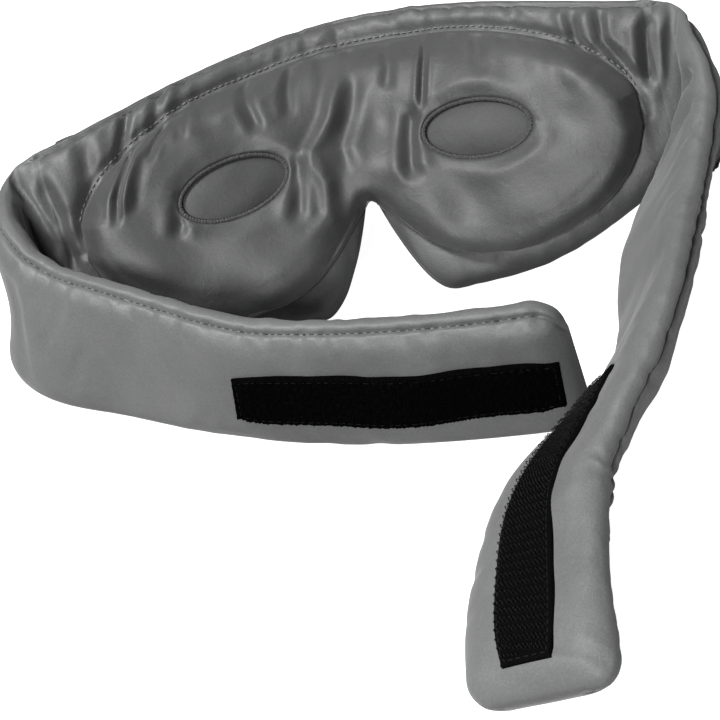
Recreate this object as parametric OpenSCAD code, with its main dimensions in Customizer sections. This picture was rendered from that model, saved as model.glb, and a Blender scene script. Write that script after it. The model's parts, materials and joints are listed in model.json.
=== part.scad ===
// Padded satin sleep mask: a leaning mask body with a face cushion and two
// hook-and-loop straps folded back at the temples. Millimetres, +Z up, the
// origin at the centre of the footprint on the table, +Y the way a wearer faces,
// so -X is the wearer's left.

/* [Mask] */
// distance between the two temple folds
mask_width = 220; // [200:2:236]
// height of the mask above the eye line, at the middle
crown = 46; // [42:1:50]
// depth of the two lobes below the eye line
lobe_drop = 48; // [44:1:52]
// depth of the nose notch's apex below the eye line
notch_drop = 12; // [8:1:16]
// thickness of the padded mask panel
panel_thickness = 12; // [9:0.5:13]
// how far the standing mask leans from upright, top toward +Y, in degrees
lean = 36; // [30:1:40]

/* [Face cushion] */
// distance between the centres of the two eye ovals
eye_spacing = 80; // [72:1:86]
// width of an eye oval
oval_width = 36; // [30:1:38]
// height of an eye oval
oval_height = 21; // [16:1:24]
// thickness of the face cushion at its crown
cushion_rise = 11; // [8:0.5:13]
// depth of the recess that holds an eye oval
recess = 4; // [3.5:0.5:5]

/* [Straps] */
// width of both straps
strap_width = 47; // [42:1:50]
// thickness of both padded straps
strap_thickness = 13; // [10:0.5:14]
// thickness of the satin with its backing
cover_thickness = 1; // [0.8:0.1:1.2]

/* [Hook and loop] */
// length of both tapes
tape_length = 100; // [80:1:100]
// width of both tapes
tape_width = 20; // [16:1:25]
// thickness of both tapes
tape_thickness = 1.8; // [1.4:0.1:2]
// how far the loop tape sits below the strap's middle
tape_drop = 2.5; // [0:0.5:4]

/* [Hidden] */

satin = [0.36, 0.36, 0.37];
satin_dark = [0.27, 0.27, 0.28];
wadding = [0.86, 0.86, 0.84];
foam_grey = [0.78, 0.78, 0.8];
tape_black = [0.05, 0.05, 0.055];
thread = [0.2, 0.2, 0.21];

LEFT = -1;
RIGHT = 1;
footprint_shift = [0.21, 96.11, 0.62];  // brings the footprint's centre to the origin
eye_line = 31;                          // height of the eye line
mask_half = mask_width / 2;
panel_half = panel_thickness / 2;
strap_half_width = strap_width / 2;
strap_half = strap_thickness / 2;
fold_half = 3.2;      // half the padding's thickness where it is pinched at a fold
pinch_length = 8;     // the padding swells to full thickness over this length
skin = 0.06;          // clearance between neighbouring layers

function clamp(t) = min(1, max(0, t));
function smooth(t) = let(c = clamp(t)) c * c * (3 - 2 * c);
function unit(v) = v / norm(v);
function turned(p, a) = [p.x * cos(a) - p.y * sin(a), p.x * sin(a) + p.y * cos(a)];
// from 0 to 1 over t = 0..1, levelling out at 1
function swell(t, power = 1) = pow(sin(90 * clamp(t)), power);
// 1 at t = 0, falling to 0 at t = -1 and 1
function dome(t, flatness, power) = pow(max(0, 1 - pow(abs(t), flatness)), power);
// step i of n as a fraction, with the steps crowded at both ends
function eased(i, n) = 0.5 - 0.5 * cos(180 * i / n);
function pinch(distance) = swell(distance / pinch_length);

// ---- closed skins ----
function triangles(quads) = [for (q = quads, c = [1, 2]) [q[0], q[c], q[c + 1]]];

// two matching grids of nx by nz cells, joined round their edges
module slab(nx, nz, back, front) {
  row = nz + 1;
  size = (nx + 1) * row;
  function at(s, i, j) = s * size + i * row + j;
  polyhedron(points = concat(back, front), faces = triangles(concat(
    [for (i = [0 : nx - 1], j = [0 : nz - 1])
      [at(0, i, j), at(0, i, j + 1), at(0, i + 1, j + 1), at(0, i + 1, j)]],
    [for (i = [0 : nx - 1], j = [0 : nz - 1])
      [at(1, i, j), at(1, i + 1, j), at(1, i + 1, j + 1), at(1, i, j + 1)]],
    [for (i = [0 : nx - 1]) [at(0, i, 0), at(0, i + 1, 0), at(1, i + 1, 0), at(1, i, 0)]],
    [for (i = [0 : nx - 1]) [at(0, i, nz), at(1, i, nz), at(1, i + 1, nz), at(0, i + 1, nz)]],
    [for (j = [0 : nz - 1]) [at(0, 0, j), at(1, 0, j), at(1, 0, j + 1), at(0, 0, j + 1)]],
    [for (j = [0 : nz - 1]) [at(0, nx, j), at(0, nx, j + 1), at(1, nx, j + 1), at(1, nx, j)]]
  )), convexity = 6);
}

// rings joined in order; looped = the last ring meets the first, else both ends are closed flat;
// rings from back_from up to back_to run back along the piece and take the other diagonal
module loft(rings, looped = false, back_from = 0, back_to = 0) {
  n = len(rings);
  m = len(rings[0]);
  last = looped ? n - 1 : n - 2;
  caps = looped ? [] : [[for (k = [0 : m - 1]) k], [for (k = [0 : m - 1]) n * m - 1 - k]];
  quads = [for (i = [0 : last], k = [0 : m - 1])
    let(this = i * m, next = ((i + 1) % n) * m, l = (k + 1) % m)
    i >= back_from && i < back_to
      ? [next + k, next + l, this + l, this + k]
      : [this + k, next + k, next + l, this + l]];
  polyhedron(points = [for (r = rings) for (p = r) p],
    faces = concat(triangles(quads), caps), convexity = 6);
}

// a thread laid along a list of points, with a five-sided section
thread_radius = 0.35;
module cord(path)
  loft([for (i = [0 : len(path) - 1])
    let(along = unit(path[min(i + 1, len(path) - 1)] - path[max(i - 1, 0)]),
      a = unit(cross(along, abs(along.z) > 0.9 ? [0, 1, 0] : [0, 0, 1])),
      b = cross(a, along))
    [for (k = [0 : 4]) path[i] + thread_radius * (cos(72 * k) * a - sin(72 * k) * b)]]);

// ---- mask body, described upright with z = 0 on the eye line ----
module leaned()
  translate(footprint_shift) translate([0, 0, eye_line]) rotate([-lean, 0, 0]) children();

lobe_x = 38;          // distance of each lobe's lowest point from the middle
notch_half_flat = 1;  // half width of the flat at the apex of the nose notch
notch_run = 21;       // width of the notch's side, from that flat to the lobe
middle_y = 3;         // y of the panel's middle surface at x = 0
bow = 19.5;           // how far that surface curves back toward the temples
bow_reach = 100;      // distance from the middle at which the bow is complete
middle_slope = 0.36;  // y gained per z at the middle
temple_slope = -0.1;  // y gained per z at the temples
edge_half = 1.4;      // half the panel's thickness at its top and bottom edges
mask_end = mask_half - 3;  // the panel stops this far from the middle

function mask_top(x) = strap_half_width
  + (crown - strap_half_width) * pow(max(0, 0.5 + 0.5 * cos(360 * x / mask_width)), 0.7);
function mask_low(x) = let(a = abs(x)) a > lobe_x
  ? -strap_half_width
    - (lobe_drop - strap_half_width) * swell((mask_half - a) / (mask_half - lobe_x), 1.15)
  : -notch_drop - (lobe_drop - notch_drop) * swell((a - notch_half_flat) / notch_run, 0.9);
// v runs from 0 at the lower edge to 1 at the top edge
function mask_z(x, v) = mask_low(x) + (mask_top(x) - mask_low(x)) * v;
function mask_v(x, z) = (z - mask_low(x)) / (mask_top(x) - mask_low(x));
function mid_y(x, z) = let(a = abs(x))
  middle_y - bow * swell(a / bow_reach, 2)
  + (middle_slope + (temple_slope - middle_slope) * pow(a / mask_half, 1.5)) * z;
function half_thickness(x, v) =
  let(full = fold_half + (panel_half - fold_half) * pinch(mask_end - abs(x)))
  edge_half + (full - edge_half) * dome(2 * v - 1, 6, 0.35);
function back_y(x, z) = mid_y(x, z) - half_thickness(x, clamp(mask_v(x, z)));

MASK_NX = 40;
MASK_NZ = 12;
end_trim = 0.06;  // share of the half turn left off each end of the column spacing
function mask_x(i) =
  -mask_end * cos(180 * (end_trim + (1 - 2 * end_trim) * i / MASK_NX)) / cos(180 * end_trim);
// face: 1 = front face, -1 = back face; shift is toward +Y
function mask_points(face, shift) = [for (i = [0 : MASK_NX], j = [0 : MASK_NZ])
  let(x = mask_x(i), v = eased(j, MASK_NZ), z = mask_z(x, v))
  [x, mid_y(x, z) + face * half_thickness(x, v) + shift, z]];
module mask_layer(face_a, shift_a, face_b, shift_b)
  leaned() slab(MASK_NX, MASK_NZ, mask_points(face_a, shift_a), mask_points(face_b, shift_b));

module front_panel() color(satin) mask_layer(1, -cover_thickness, 1, 0);
module mask_padding() color(wadding)
  mask_layer(-1, cover_thickness + skin, 1, -cover_thickness - skin);
module lining_panel() color(satin_dark) mask_layer(-1, 0, -1, cover_thickness);

// thread on the back face, one grid row below the top edge
module top_seam_thread() color(thread) leaned() cord([for (i = [1 : MASK_NX - 1])
  let(x = mask_x(i), z = mask_z(x, eased(MASK_NZ - 2, MASK_NZ)))
  [x, back_y(x, z) - 0.45, z]]);

// small patch on the front face toward the left temple
label_x = -86;
label_z = 24;
label_size = [16, 9];
label_thickness = 0.8;
label_turn = 17;
module label_patch() color(tape_black) leaned()
  translate([label_x, mid_y(label_x, label_z) + panel_half + 1.2, label_z])
    rotate([0, 0, label_turn]) rotate([90, 0, 0])
      linear_extrude(label_thickness) square(label_size, center = true);

// ---- face cushion, on the back of the mask ----
cushion_end = 90;                 // x at which the cushion stops
cushion_top_reach = 92;           // x at which its top curve and its rise run out
cushion_low_reach = 94;           // x at which its lower curve runs out
cushion_end_z = -3;               // height at which the top curve starts
cushion_height = 39;              // from there to the cushion's top
cushion_drop = 42;                // depth scale of the lower curve
cushion_notch = notch_drop + 3.5; // depth of the cushion's nose notch
cushion_notch_run = 27;
cushion_edge = 2.4;               // thickness at the cushion's edge
bridge_share = 0.72;              // share of the rise kept over the nose bridge
bridge_half = 22;                 // half width of that thinning

function cushion_top(x) =
  cushion_end_z + cushion_height * dome(x / cushion_top_reach, 2.2, 0.62);
function cushion_low(x) = -cushion_notch
  - (cushion_drop - cushion_notch) * swell((abs(x) - notch_half_flat) / cushion_notch_run, 0.9)
  + cushion_drop * (1 - dome(x / cushion_low_reach, 3, 0.5));
function rise_at(x, v) = cushion_edge + (cushion_rise - cushion_edge)
  * dome(2 * v - 1, 3.5, 0.6) * dome(x / cushion_top_reach, 6, 0.6)
  * (bridge_share + (1 - bridge_share) * smooth(abs(x) / bridge_half));
function cushion_y(x, z) = back_y(x, z) - skin
  - rise_at(x, clamp((z - cushion_low(x)) / (cushion_top(x) - cushion_low(x))));

CUSHION_NX = 36;
CUSHION_NZ = 10;
// part: 0 = against the mask, 1 = the cushion's outer surface; shift is toward +Y
function cushion_points(part, shift) = [for (i = [0 : CUSHION_NX], j = [0 : CUSHION_NZ])
  let(x = cushion_end * (2 * i / CUSHION_NX - 1), v = eased(j, CUSHION_NZ),
    z = cushion_low(x) + (cushion_top(x) - cushion_low(x)) * v)
  [x, back_y(x, z) - skin - part * rise_at(x, v) + shift, z]];

OVAL_SIDES = 32;
oval_turn = 9;        // each oval's outer end is turned down by this angle
oval_gap = 0.3;       // clearance round an eye panel
eye_panel_thickness = 1.1;
edging_radius = 1.1;
edging_inset = 1.45;  // from the oval's outline to the middle of the edging
edging_depth = 1.3;   // from the cushion's surface to the middle of the edging
// [x, z] on an oval scaled by r, at angle t, its outline first inset
function oval_point(side, r, t, inset) = [side * eye_spacing / 2, 0] + turned(
  [(oval_width / 2 - inset) * r * cos(t), (oval_height / 2 - inset) * r * sin(t)],
  -oval_turn * side);
function oval_ring(side, r, inset, depth) = [for (k = [0 : OVAL_SIDES - 1])
  let(q = oval_point(side, r, 360 * k / OVAL_SIDES, inset))
  [q.x, cushion_y(q.x, q.y) + depth, q.y]];
// an oval plug between two depths below the cushion's surface, which it follows
module oval_plug(side, inset, shallow, deep)
  loft(concat(
    [for (r = [0.02, 0.5, 1]) oval_ring(side, r, inset, deep)],
    [for (r = [1, 0.5, 0.02]) oval_ring(side, r, inset, shallow)]));
module with_recesses(depth) difference() {
  children();
  for (side = [LEFT, RIGHT]) oval_plug(side, inset = 0, shallow = -8, deep = depth);
}

module cushion_foam() color(foam_grey) leaned() with_recesses(recess + 0.2)
  slab(CUSHION_NX, CUSHION_NZ,
    cushion_points(1, cover_thickness + skin), cushion_points(0, -1.24));
module cushion_cover() color(satin) leaned() with_recesses(recess)
  slab(CUSHION_NX, CUSHION_NZ, cushion_points(1, 0), cushion_points(1, cover_thickness));

module eye_panel(side)
  leaned() oval_plug(side, oval_gap, recess - eye_panel_thickness, recess);
module eye_edging(side)
  leaned() loft([for (k = [0 : OVAL_SIDES - 1])
    let(t = 360 * k / OVAL_SIDES, q = oval_point(side, 1, t, edging_inset),
      out = turned(unit([cos(t) * oval_height, sin(t) * oval_width]), -oval_turn * side))
    [for (a = [0 : 45 : 315]) [
      q.x + edging_radius * cos(a) * out.x,
      cushion_y(q.x, q.y) + edging_depth + edging_radius * sin(a),
      q.y + edging_radius * cos(a) * out.y]]],
    looped = true);
module left_eye_panel() color(satin_dark) eye_panel(LEFT);
module right_eye_panel() color(satin_dark) eye_panel(RIGHT);
module left_eye_edging() color(thread) eye_edging(LEFT);
module right_eye_edging() color(thread) eye_edging(RIGHT);

// thread on the mask's back face, just above the cushion
topstitch_half = 88.5;
module cushion_topstitch() color(thread) leaned() cord([for (i = [0 : 48])
  let(x = topstitch_half * sin(90 * (i / 24 - 1)), z = cushion_top(x) + 1.8)
  [x, back_y(x, z) - 0.75, z]]);

// ---- strap paths: way points [x, y, z, tilt of the width from vertical] ----
// the left strap runs behind the head and stands on edge
left_near = [
  [-115.5, -21, 40, -7], [-111, -38, 34.5, -11], [-98.5, -53.5, 29, -11],
  [-80, -67, 27, -9], [-60, -80, 25, -5], [-52, -84, 24.5, -3]];
left_far = [[-49.2, -85.8, 24.3, 0], [55, -118.8, 24.3, 0]];
// the right strap runs toward -Y and turns over until its inner face looks up
right_near = [
  [115.5, -21, 40, 4], [110.5, -41, 35.5, -8], [102, -63, 31.5, -13],
  [94, -83, 30, -14], [86.5, -103, 30, -17], [79, -120, 29.6, -22]];
right_far = [
  [77.2, -123, 29.4, -23], [66, -138, 27, -35], [53, -152.5, 24.5, -46],
  [41.5, -168, 22, -52], [36, -187, 20.5, -58], [33, -208, 18, -63], [30.5, -235, 14, -66]];

// runs, one for each padded piece: [path, start, end, steps], start and end in way points
left_temple = [left_near, 0.15, 1.95, 9];
left_middle = [left_near, 2.17, 4.65, 9];
left_end = [left_far, 0.005, 1, 14];
left_end_seam = [left_far, 0.005, 0.98, 14];
right_temple = [right_near, 0.15, 2.25, 9];
right_middle = [right_near, 2.48, 4.72, 9];
right_end = [right_far, 0.03, 6, 16];

// direction of the mask's end edge, which a strap's width follows near the temple fold
fold_dir = unit([0, sin(lean) + temple_slope * cos(lean), cos(lean) - temple_slope * sin(lean)]);
fold_reach = 34;  // length over which a strap leaves that direction

// smooth curve through all way points of P, at way point number u
function spline(P, u) = let(
    n = len(P) - 1, i = min(n - 1, max(0, floor(u))), f = u - i,
    a = i > 0 ? P[i - 1] : 2 * P[0] - P[1], b = P[i], c = P[i + 1],
    d = i + 2 <= n ? P[i + 2] : 2 * P[n] - P[n - 1])
  0.5 * (2 * b + f * (c - a) + f * f * (2 * a - 5 * b + 4 * c - d)
    + f * f * f * (3 * b - a - 3 * c + d));
function xyz(q) = [q[0], q[1], q[2]];

// a station is [place, direction along, direction of the width, normal of the face]
PLACE = 0;
ALONG = 1;
WIDTH = 2;
NORMAL = 3;
function station(path, u) = let(
    q = spline(path, u),
    along = unit(xyz(spline(path, u + 0.02)) - xyz(spline(path, u - 0.02))),
    side = unit(cross(along, [0, 0, 1])),
    up = cross(side, along),
    // only the paths that start at a temple have |x| over 100 there
    fold = abs(path[0][0]) > 100
      ? 1 - smooth(norm(xyz(q) - xyz(path[0])) / fold_reach) : 0,
    width = unit((cos(q[3]) * up + sin(q[3]) * side) * (1 - fold) + fold_dir * fold))
  [xyz(q), along, width, unit(cross(along, width))];
function stations(run) = [for (i = [0 : run[3]])
  station(run[0], run[1] + (run[2] - run[1]) * eased(i, run[3]))];

// ---- padded strap pieces ----
SECTION_SIDES = 18;
width_power = 0.8;      // powers that square up the section's oval
thickness_power = 0.9;
end_narrowing = 1.2;    // half width lost at a pinched end
tip_length = 9;         // length of the rounded free tip
tip_narrowing = 0.28;   // share of the width lost at the tip
filling_gap = 0.3;      // clearance between filling and cover

function section(s, half_width, half_thick) = [for (k = [0 : SECTION_SIDES - 1])
  let(t = 360 * k / SECTION_SIDES, c = cos(t), d = sin(t))
  s[PLACE] + half_width * sign(c) * pow(abs(c), width_power) * s[WIDTH]
    + half_thick * sign(d) * pow(abs(d), thickness_power) * s[NORMAL]];
// [half width, half thickness] at the given distances from the piece's two ends
function half_sizes(from_start, from_end, inset) =
  let(r = min(pinch(from_start), pinch(from_end)))
  [strap_half_width - end_narrowing * (1 - r) - inset,
    fold_half + (strap_half - fold_half) * r - inset];
// sections of one run; tip = the run ends in a rounded free tip
function strap_rings(run, inset, tip = false) = let(S = stations(run), n = run[3])
  [for (s = S) let(
      from_start = norm(s[PLACE] - S[0][PLACE]),
      from_end = norm(s[PLACE] - S[n][PLACE]),
      size = half_sizes(from_start, tip ? 99 : from_end, inset),
      e = tip ? clamp(1 - from_end / tip_length) : 0)
    section(s, size[0] * (1 - tip_narrowing * e * e),
      max(0.6, size[1] * sqrt(max(0.02, 1 - e * e))))];

// cover open at both ends
module strap_tube(run) {
  n = run[3];
  inner = strap_rings(run, cover_thickness);
  translate(footprint_shift)
    loft(concat(strap_rings(run, 0), [for (i = [n : -1 : 0]) inner[i]]),
      looped = true, back_from = n + 1, back_to = 2 * n + 1);
}
// cover closed at its tip
module strap_sock(run) {
  n = run[3];
  inner = strap_rings(run, cover_thickness, true);
  translate(footprint_shift)
    loft(concat([for (i = [n - 2 : -1 : 0]) inner[i]], strap_rings(run, 0, true)),
      back_from = 0, back_to = n - 2);
}
module strap_core(run, tip = false) {
  rings = strap_rings(run, cover_thickness + filling_gap, tip);
  translate(footprint_shift) loft([for (i = [0 : tip ? run[3] - 3 : run[3]]) rings[i]]);
}
// thread along the strap's upper edge; face: 1 = on the side of the normal, -1 = opposite;
// it stops short of the run's end by skip stations
seam_angle = 40;  // where the seam lies on the section
seam_lift = 0.8;
module strap_seam(run, face, skip = 1) {
  n = run[3];
  S = stations(run);
  translate(footprint_shift) cord([for (i = [1 : n - skip]) let(
      s = S[i],
      size = half_sizes(norm(s[PLACE] - S[0][PLACE]), norm(s[PLACE] - S[n][PLACE]), 0))
    s[PLACE] + size[0] * pow(cos(seam_angle), width_power) * s[WIDTH]
      + face * (size[1] * pow(sin(seam_angle), thickness_power) + seam_lift) * s[NORMAL]]);
}

module left_strap_cover_temple() color(satin) strap_tube(left_temple);
module left_strap_cover_middle() color(satin) strap_tube(left_middle);
module left_strap_cover_end() color(satin) strap_sock(left_end);
module left_strap_filling_temple() color(wadding) strap_core(left_temple);
module left_strap_filling_middle() color(wadding) strap_core(left_middle);
module left_strap_filling_end() color(wadding) strap_core(left_end, tip = true);
module left_strap_seam_temple() color(thread) strap_seam(left_temple, 1);
module left_strap_seam_middle() color(thread) strap_seam(left_middle, 1);
module left_strap_seam_end() color(thread) strap_seam(left_end_seam, 1);

module right_strap_cover_temple() color(satin) strap_tube(right_temple);
module right_strap_cover_middle() color(satin) strap_tube(right_middle);
module right_strap_cover_end() color(satin) strap_sock(right_end);
module right_strap_filling_temple() color(wadding) strap_core(right_temple);
module right_strap_filling_middle() color(wadding) strap_core(right_middle);
module right_strap_filling_end() color(wadding) strap_core(right_end, tip = true);
module right_strap_seam_temple() color(thread) strap_seam(right_temple, -1);
module right_strap_seam_middle() color(thread) strap_seam(right_middle, -1);
module right_strap_seam_end() color(thread) strap_seam(right_end, -1, skip = 2);

// ---- loop tape, flat on the rear face of the left strap's end ----
loop_start = station(left_far, 0.075);
module on_loop_face(lift)
  translate(footprint_shift) translate(loop_start[PLACE])
    multmatrix([for (r = [0 : 2])
      [loop_start[ALONG][r], loop_start[WIDTH][r], loop_start[NORMAL][r], 0]])
      translate([0, -tape_drop, strap_half + 0.15 + lift]) children();
module rounded(l, w, r) {
  translate([r, -w / 2]) square([l - 2 * r, w]);
  translate([0, -w / 2 + r]) square([l, w - 2 * r]);
  for (x = [r, l - r], y = [-w / 2 + r, w / 2 - r]) translate([x, y]) circle(r, $fn = 24);
}
// the tape's outline moved in by inset
module tape_outline(inset, r)
  translate([inset, 0]) rounded(tape_length - 2 * inset, tape_width - 2 * inset, r);
// a frame-shaped line round the tape
module tape_line(inset, line_width) difference() {
  tape_outline(inset, 1);
  tape_outline(inset + line_width, 0.6);
}
// the stitching is sunk in the pile, so the loop face stays free
module loop_tape() color(tape_black) on_loop_face(0) difference() {
  linear_extrude(tape_thickness) rounded(tape_length, tape_width, 2);
  translate([0, 0, tape_thickness - 0.6]) linear_extrude(1) tape_line(1.45, 0.7);
}
module loop_tape_stitching() color(thread)
  on_loop_face(tape_thickness - 0.5) linear_extrude(0.35) tape_line(1.55, 0.5);

// ---- hook tape, following the inner face of the right strap's end ----
HOOK_STEPS = 20;
hook_lift = strap_half + 0.45;
hook_top = hook_lift + tape_thickness;
module hook_tape() color(tape_black) translate(footprint_shift)
  loft([for (i = [0 : HOOK_STEPS]) let(
      s = station(right_far, 0.75 + 4.87 * i / HOOK_STEPS),
      w = tape_width / 2 - (i == 0 || i == HOOK_STEPS ? 1 : 0))
    [for (q = [[-w, hook_lift], [w, hook_lift], [w, hook_top], [-w, hook_top]])
      s[PLACE] + q[0] * s[WIDTH] + q[1] * s[NORMAL]]]);
// a closed loop of thread: out along one edge of the tape and back along the other
module hook_tape_stitching() color(thread) translate(footprint_shift)
  loft([for (edge = [1, -1], i = [0 : HOOK_STEPS]) let(
      s = station(right_far, 0.84 + 4.69 * (edge > 0 ? i : HOOK_STEPS - i) / HOOK_STEPS),
      c = s[PLACE] + edge * (tape_width / 2 - 2) * s[WIDTH] + (hook_top + 0.3) * s[NORMAL])
    [for (a = [45 : 90 : 315]) c + 0.22 * (edge * cos(a) * s[WIDTH] + sin(a) * s[NORMAL])]],
    looped = true);

front_panel();
mask_padding();
lining_panel();
cushion_foam();
cushion_cover();
left_eye_panel();
right_eye_panel();
left_eye_edging();
right_eye_edging();
cushion_topstitch();
top_seam_thread();
label_patch();
left_strap_cover_temple();
left_strap_cover_middle();
left_strap_cover_end();
left_strap_filling_temple();
left_strap_filling_middle();
left_strap_filling_end();
left_strap_seam_temple();
left_strap_seam_middle();
left_strap_seam_end();
loop_tape();
loop_tape_stitching();
right_strap_cover_temple();
right_strap_cover_middle();
right_strap_cover_end();
right_strap_filling_temple();
right_strap_filling_middle();
right_strap_filling_end();
right_strap_seam_temple();
right_strap_seam_middle();
right_strap_seam_end();
hook_tape();
hook_tape_stitching();
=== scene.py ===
"""A padded satin eye mask with a strap on each side, one with loop tape and one with hook tape.

Shapes are worked out in millimetres in the part's own coordinates: x runs across the mask with
the left strap at -x, and z is up. The mask leans back towards +y with its lining facing -y and
up, and both straps run off towards -y. "Mask coordinates" are the same axes with the mask upright.
"""
import json
import math
import bpy
import numpy as np
from mathutils import Matrix, Vector
from mathutils.kdtree import KDTree


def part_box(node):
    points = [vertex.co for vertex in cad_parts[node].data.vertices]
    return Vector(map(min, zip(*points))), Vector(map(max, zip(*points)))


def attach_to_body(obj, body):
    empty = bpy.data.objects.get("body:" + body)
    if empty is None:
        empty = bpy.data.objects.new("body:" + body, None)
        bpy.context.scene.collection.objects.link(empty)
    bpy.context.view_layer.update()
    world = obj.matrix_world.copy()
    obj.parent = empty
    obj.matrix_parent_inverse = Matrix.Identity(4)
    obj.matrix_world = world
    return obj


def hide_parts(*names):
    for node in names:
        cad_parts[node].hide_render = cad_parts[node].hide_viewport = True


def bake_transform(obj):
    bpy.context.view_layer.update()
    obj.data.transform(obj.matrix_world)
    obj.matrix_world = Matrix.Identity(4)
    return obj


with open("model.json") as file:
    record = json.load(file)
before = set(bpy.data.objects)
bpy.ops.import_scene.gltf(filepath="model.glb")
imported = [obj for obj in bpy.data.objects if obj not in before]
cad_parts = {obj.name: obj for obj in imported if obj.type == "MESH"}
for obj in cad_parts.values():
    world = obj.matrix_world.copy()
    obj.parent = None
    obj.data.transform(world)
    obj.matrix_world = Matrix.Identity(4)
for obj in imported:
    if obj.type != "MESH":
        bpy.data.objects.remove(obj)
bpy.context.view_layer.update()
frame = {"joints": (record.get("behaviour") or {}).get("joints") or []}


MM = 0.001
JOINTS = {j["name"]: np.array(j["pos_m"], float) * 1000.0 for j in frame["joints"]}
# carries the part's coordinates into the shared frame
ORIGIN = JOINTS["left_temple_fold"] - np.array([-110.0, -15.9376, 42.5794])

# ---------------------------------------------------------------- driving sizes (mm)
FOLD_X = 110.0                 # where each strap folds away from the mask
STRAP_HALF = 23.5              # half the strap's width
CROWN_Z = 46.0                 # top of the mask at its middle
LOBE_Z = 48.0                  # depth of the mask below each eye
NOTCH_Z = 12.0                 # depth at the nose
LEAN = math.radians(36.0)
EYE_LINE = 31.0                # height of mask z = 0 in the part
STEP = 1.0                     # station spacing along the straps
ROOT_X = 100.0                 # where the strap stations take over from the mask's
CORNER = 10.0                  # radius of the strap ends' corners
CLOTH = 0.9                    # cloth thickness
PAD_INSET = 1.5                # wadding's clearance from the cloth
FACE_N = 92                    # steps across one face
RING_N = 2 * FACE_N            # points round the whole section
TIP_ROWS = 7                   # stations between a strap's end seam and its inside

# stations across the mask, closer together over the nose
MASK_X = np.concatenate([np.arange(-100, -14, 1.0), np.arange(-14, 14, 0.5),
                         np.arange(14, 100.5, 1.0)])

# strap centre lines from the mask outwards: x, y, z, sideways tilt of the width (degrees)
RIGHT_WAY = [
    (104.5, -13.4, 40.8, 0), (108.0, -14.2, 40.8, 0), (110.0, -17.6, 40.4, 0),
    (109.8, -23.5, 39.6, -6), (107.4, -33, 37.8, -20), (102.2, -46, 35.2, -30),
    (94.6, -63, 32.6, -36), (88.2, -83, 30.9, -36), (83.8, -103, 30.2, -32),
    (79.2, -120, 29.6, -31), (69.0, -138.4, 27, -38), (55.2, -153.2, 24.5, -50),
    (44.6, -168.6, 22, -55), (39.0, -187.6, 20.5, -60), (35.4, -208, 18, -64),
    (33.6, -236.5, 14, -66)]
LEFT_WAY = [
    (-104.5, -13.4, 40.8, 0), (-108.3, -14.4, 40.8, 0), (-110.8, -18.2, 40.3, 0),
    (-112.4, -25, 38.6, -5), (-112.4, -35, 35.2, -16), (-108.8, -45.4, 32.2, -22),
    (-100.2, -54.6, 30.0, -19), (-80.5, -67.3, 28.4, -12), (-60, -80.3, 26.2, -7),
    (-50, -86, 25.3, -3), (-35, -93.4, 23.8, 0), (-16.8, -100.8, 23.6, 0),
    (1.9, -107.2, 23.9, 0), (21, -112.6, 24.3, 0), (40.5, -116.8, 24.6, 0),
    (57.8, -119.4, 25.0, 0)]

# the cushion's lower edge: distance from the middle, height
CUSHION_LOW_X = [0, 1.5, 4, 7, 11, 15, 20.7, 26.9, 33.9, 44.8, 52.8, 61.8, 72.1, 79, 84.5,
                 88.5, 91.7, 120]
CUSHION_LOW_Z = [-14.8, -15.6, -18.5, -22.2, -26.6, -30.6, -34.8, -37.9, -40.1, -41.8, -41.4,
                 -39.4, -35.4, -30.9, -25.6, -19.7, -11.5, -11.5]

# drag lines beside each fold: distance past the fold, slant, depth, width
FOLD_DRAGS = ((10, 0.22, 0.9, 2.2), (17, -0.3, 0.6, 2.6), (-9, 0.35, 0.9, 2.4))
# creases on the inner face at the folds, by side:
# points (distance past the fold, height), depth, width
FOLD_CREASES = {
    1: [([(19.5, 24), (17.5, 12), (18.5, 2), (25, -8)], 3.6, 2.6),
        ([(29, 21), (30, 8), (36, -8)], 1.3, 2.6)],
    -1: [([(3, 24), (-1, 16), (-4.5, 9), (-7.5, 1), (-9, -11)], 2.8, 2.0),
         ([(9, 22), (12, 6), (17, -10)], 1.4, 2.6)]}
# creases in the lining: points (x, z) in mask coordinates, depth, width
LINING_CREASES = [
    ([(78.0, 33), (77, 19.2), (79.2, 12.2), (85.3, 4.2), (93.5, -2.5)], 3.6, 1.9),
    ([(86.5, 31), (85.0, 17.0), (89.6, 8.4), (95, -1)], 2.8, 1.6),
    ([(104, 25), (98.5, 17), (97, 8), (95.5, -3)], 3.6, 2.3),
    ([(-70.0, 36), (-72.6, 26), (-76.5, 12)], 2.8, 1.5),
    ([(-58, 43), (-61.5, 31), (-64.5, 20)], 2.0, 2.0),
    ([(-51, 43), (-53.5, 34), (-55, 27)], 0.9, 1.8),
    ([(-84, 29), (-86, 14), (-88.5, 1)], 1.9, 2.8),
    ([(-101, 21), (-98, 4), (-97, -16)], 3.4, 2.6),
    ([(30, 46), (31, 40), (29, 34)], 0.8, 1.6),
    ([(-20, 47), (-19, 41), (-21, 36)], 0.7, 1.7),
    ([(58, 39), (60, 33), (58, 27)], 0.9, 2.0)]
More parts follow.
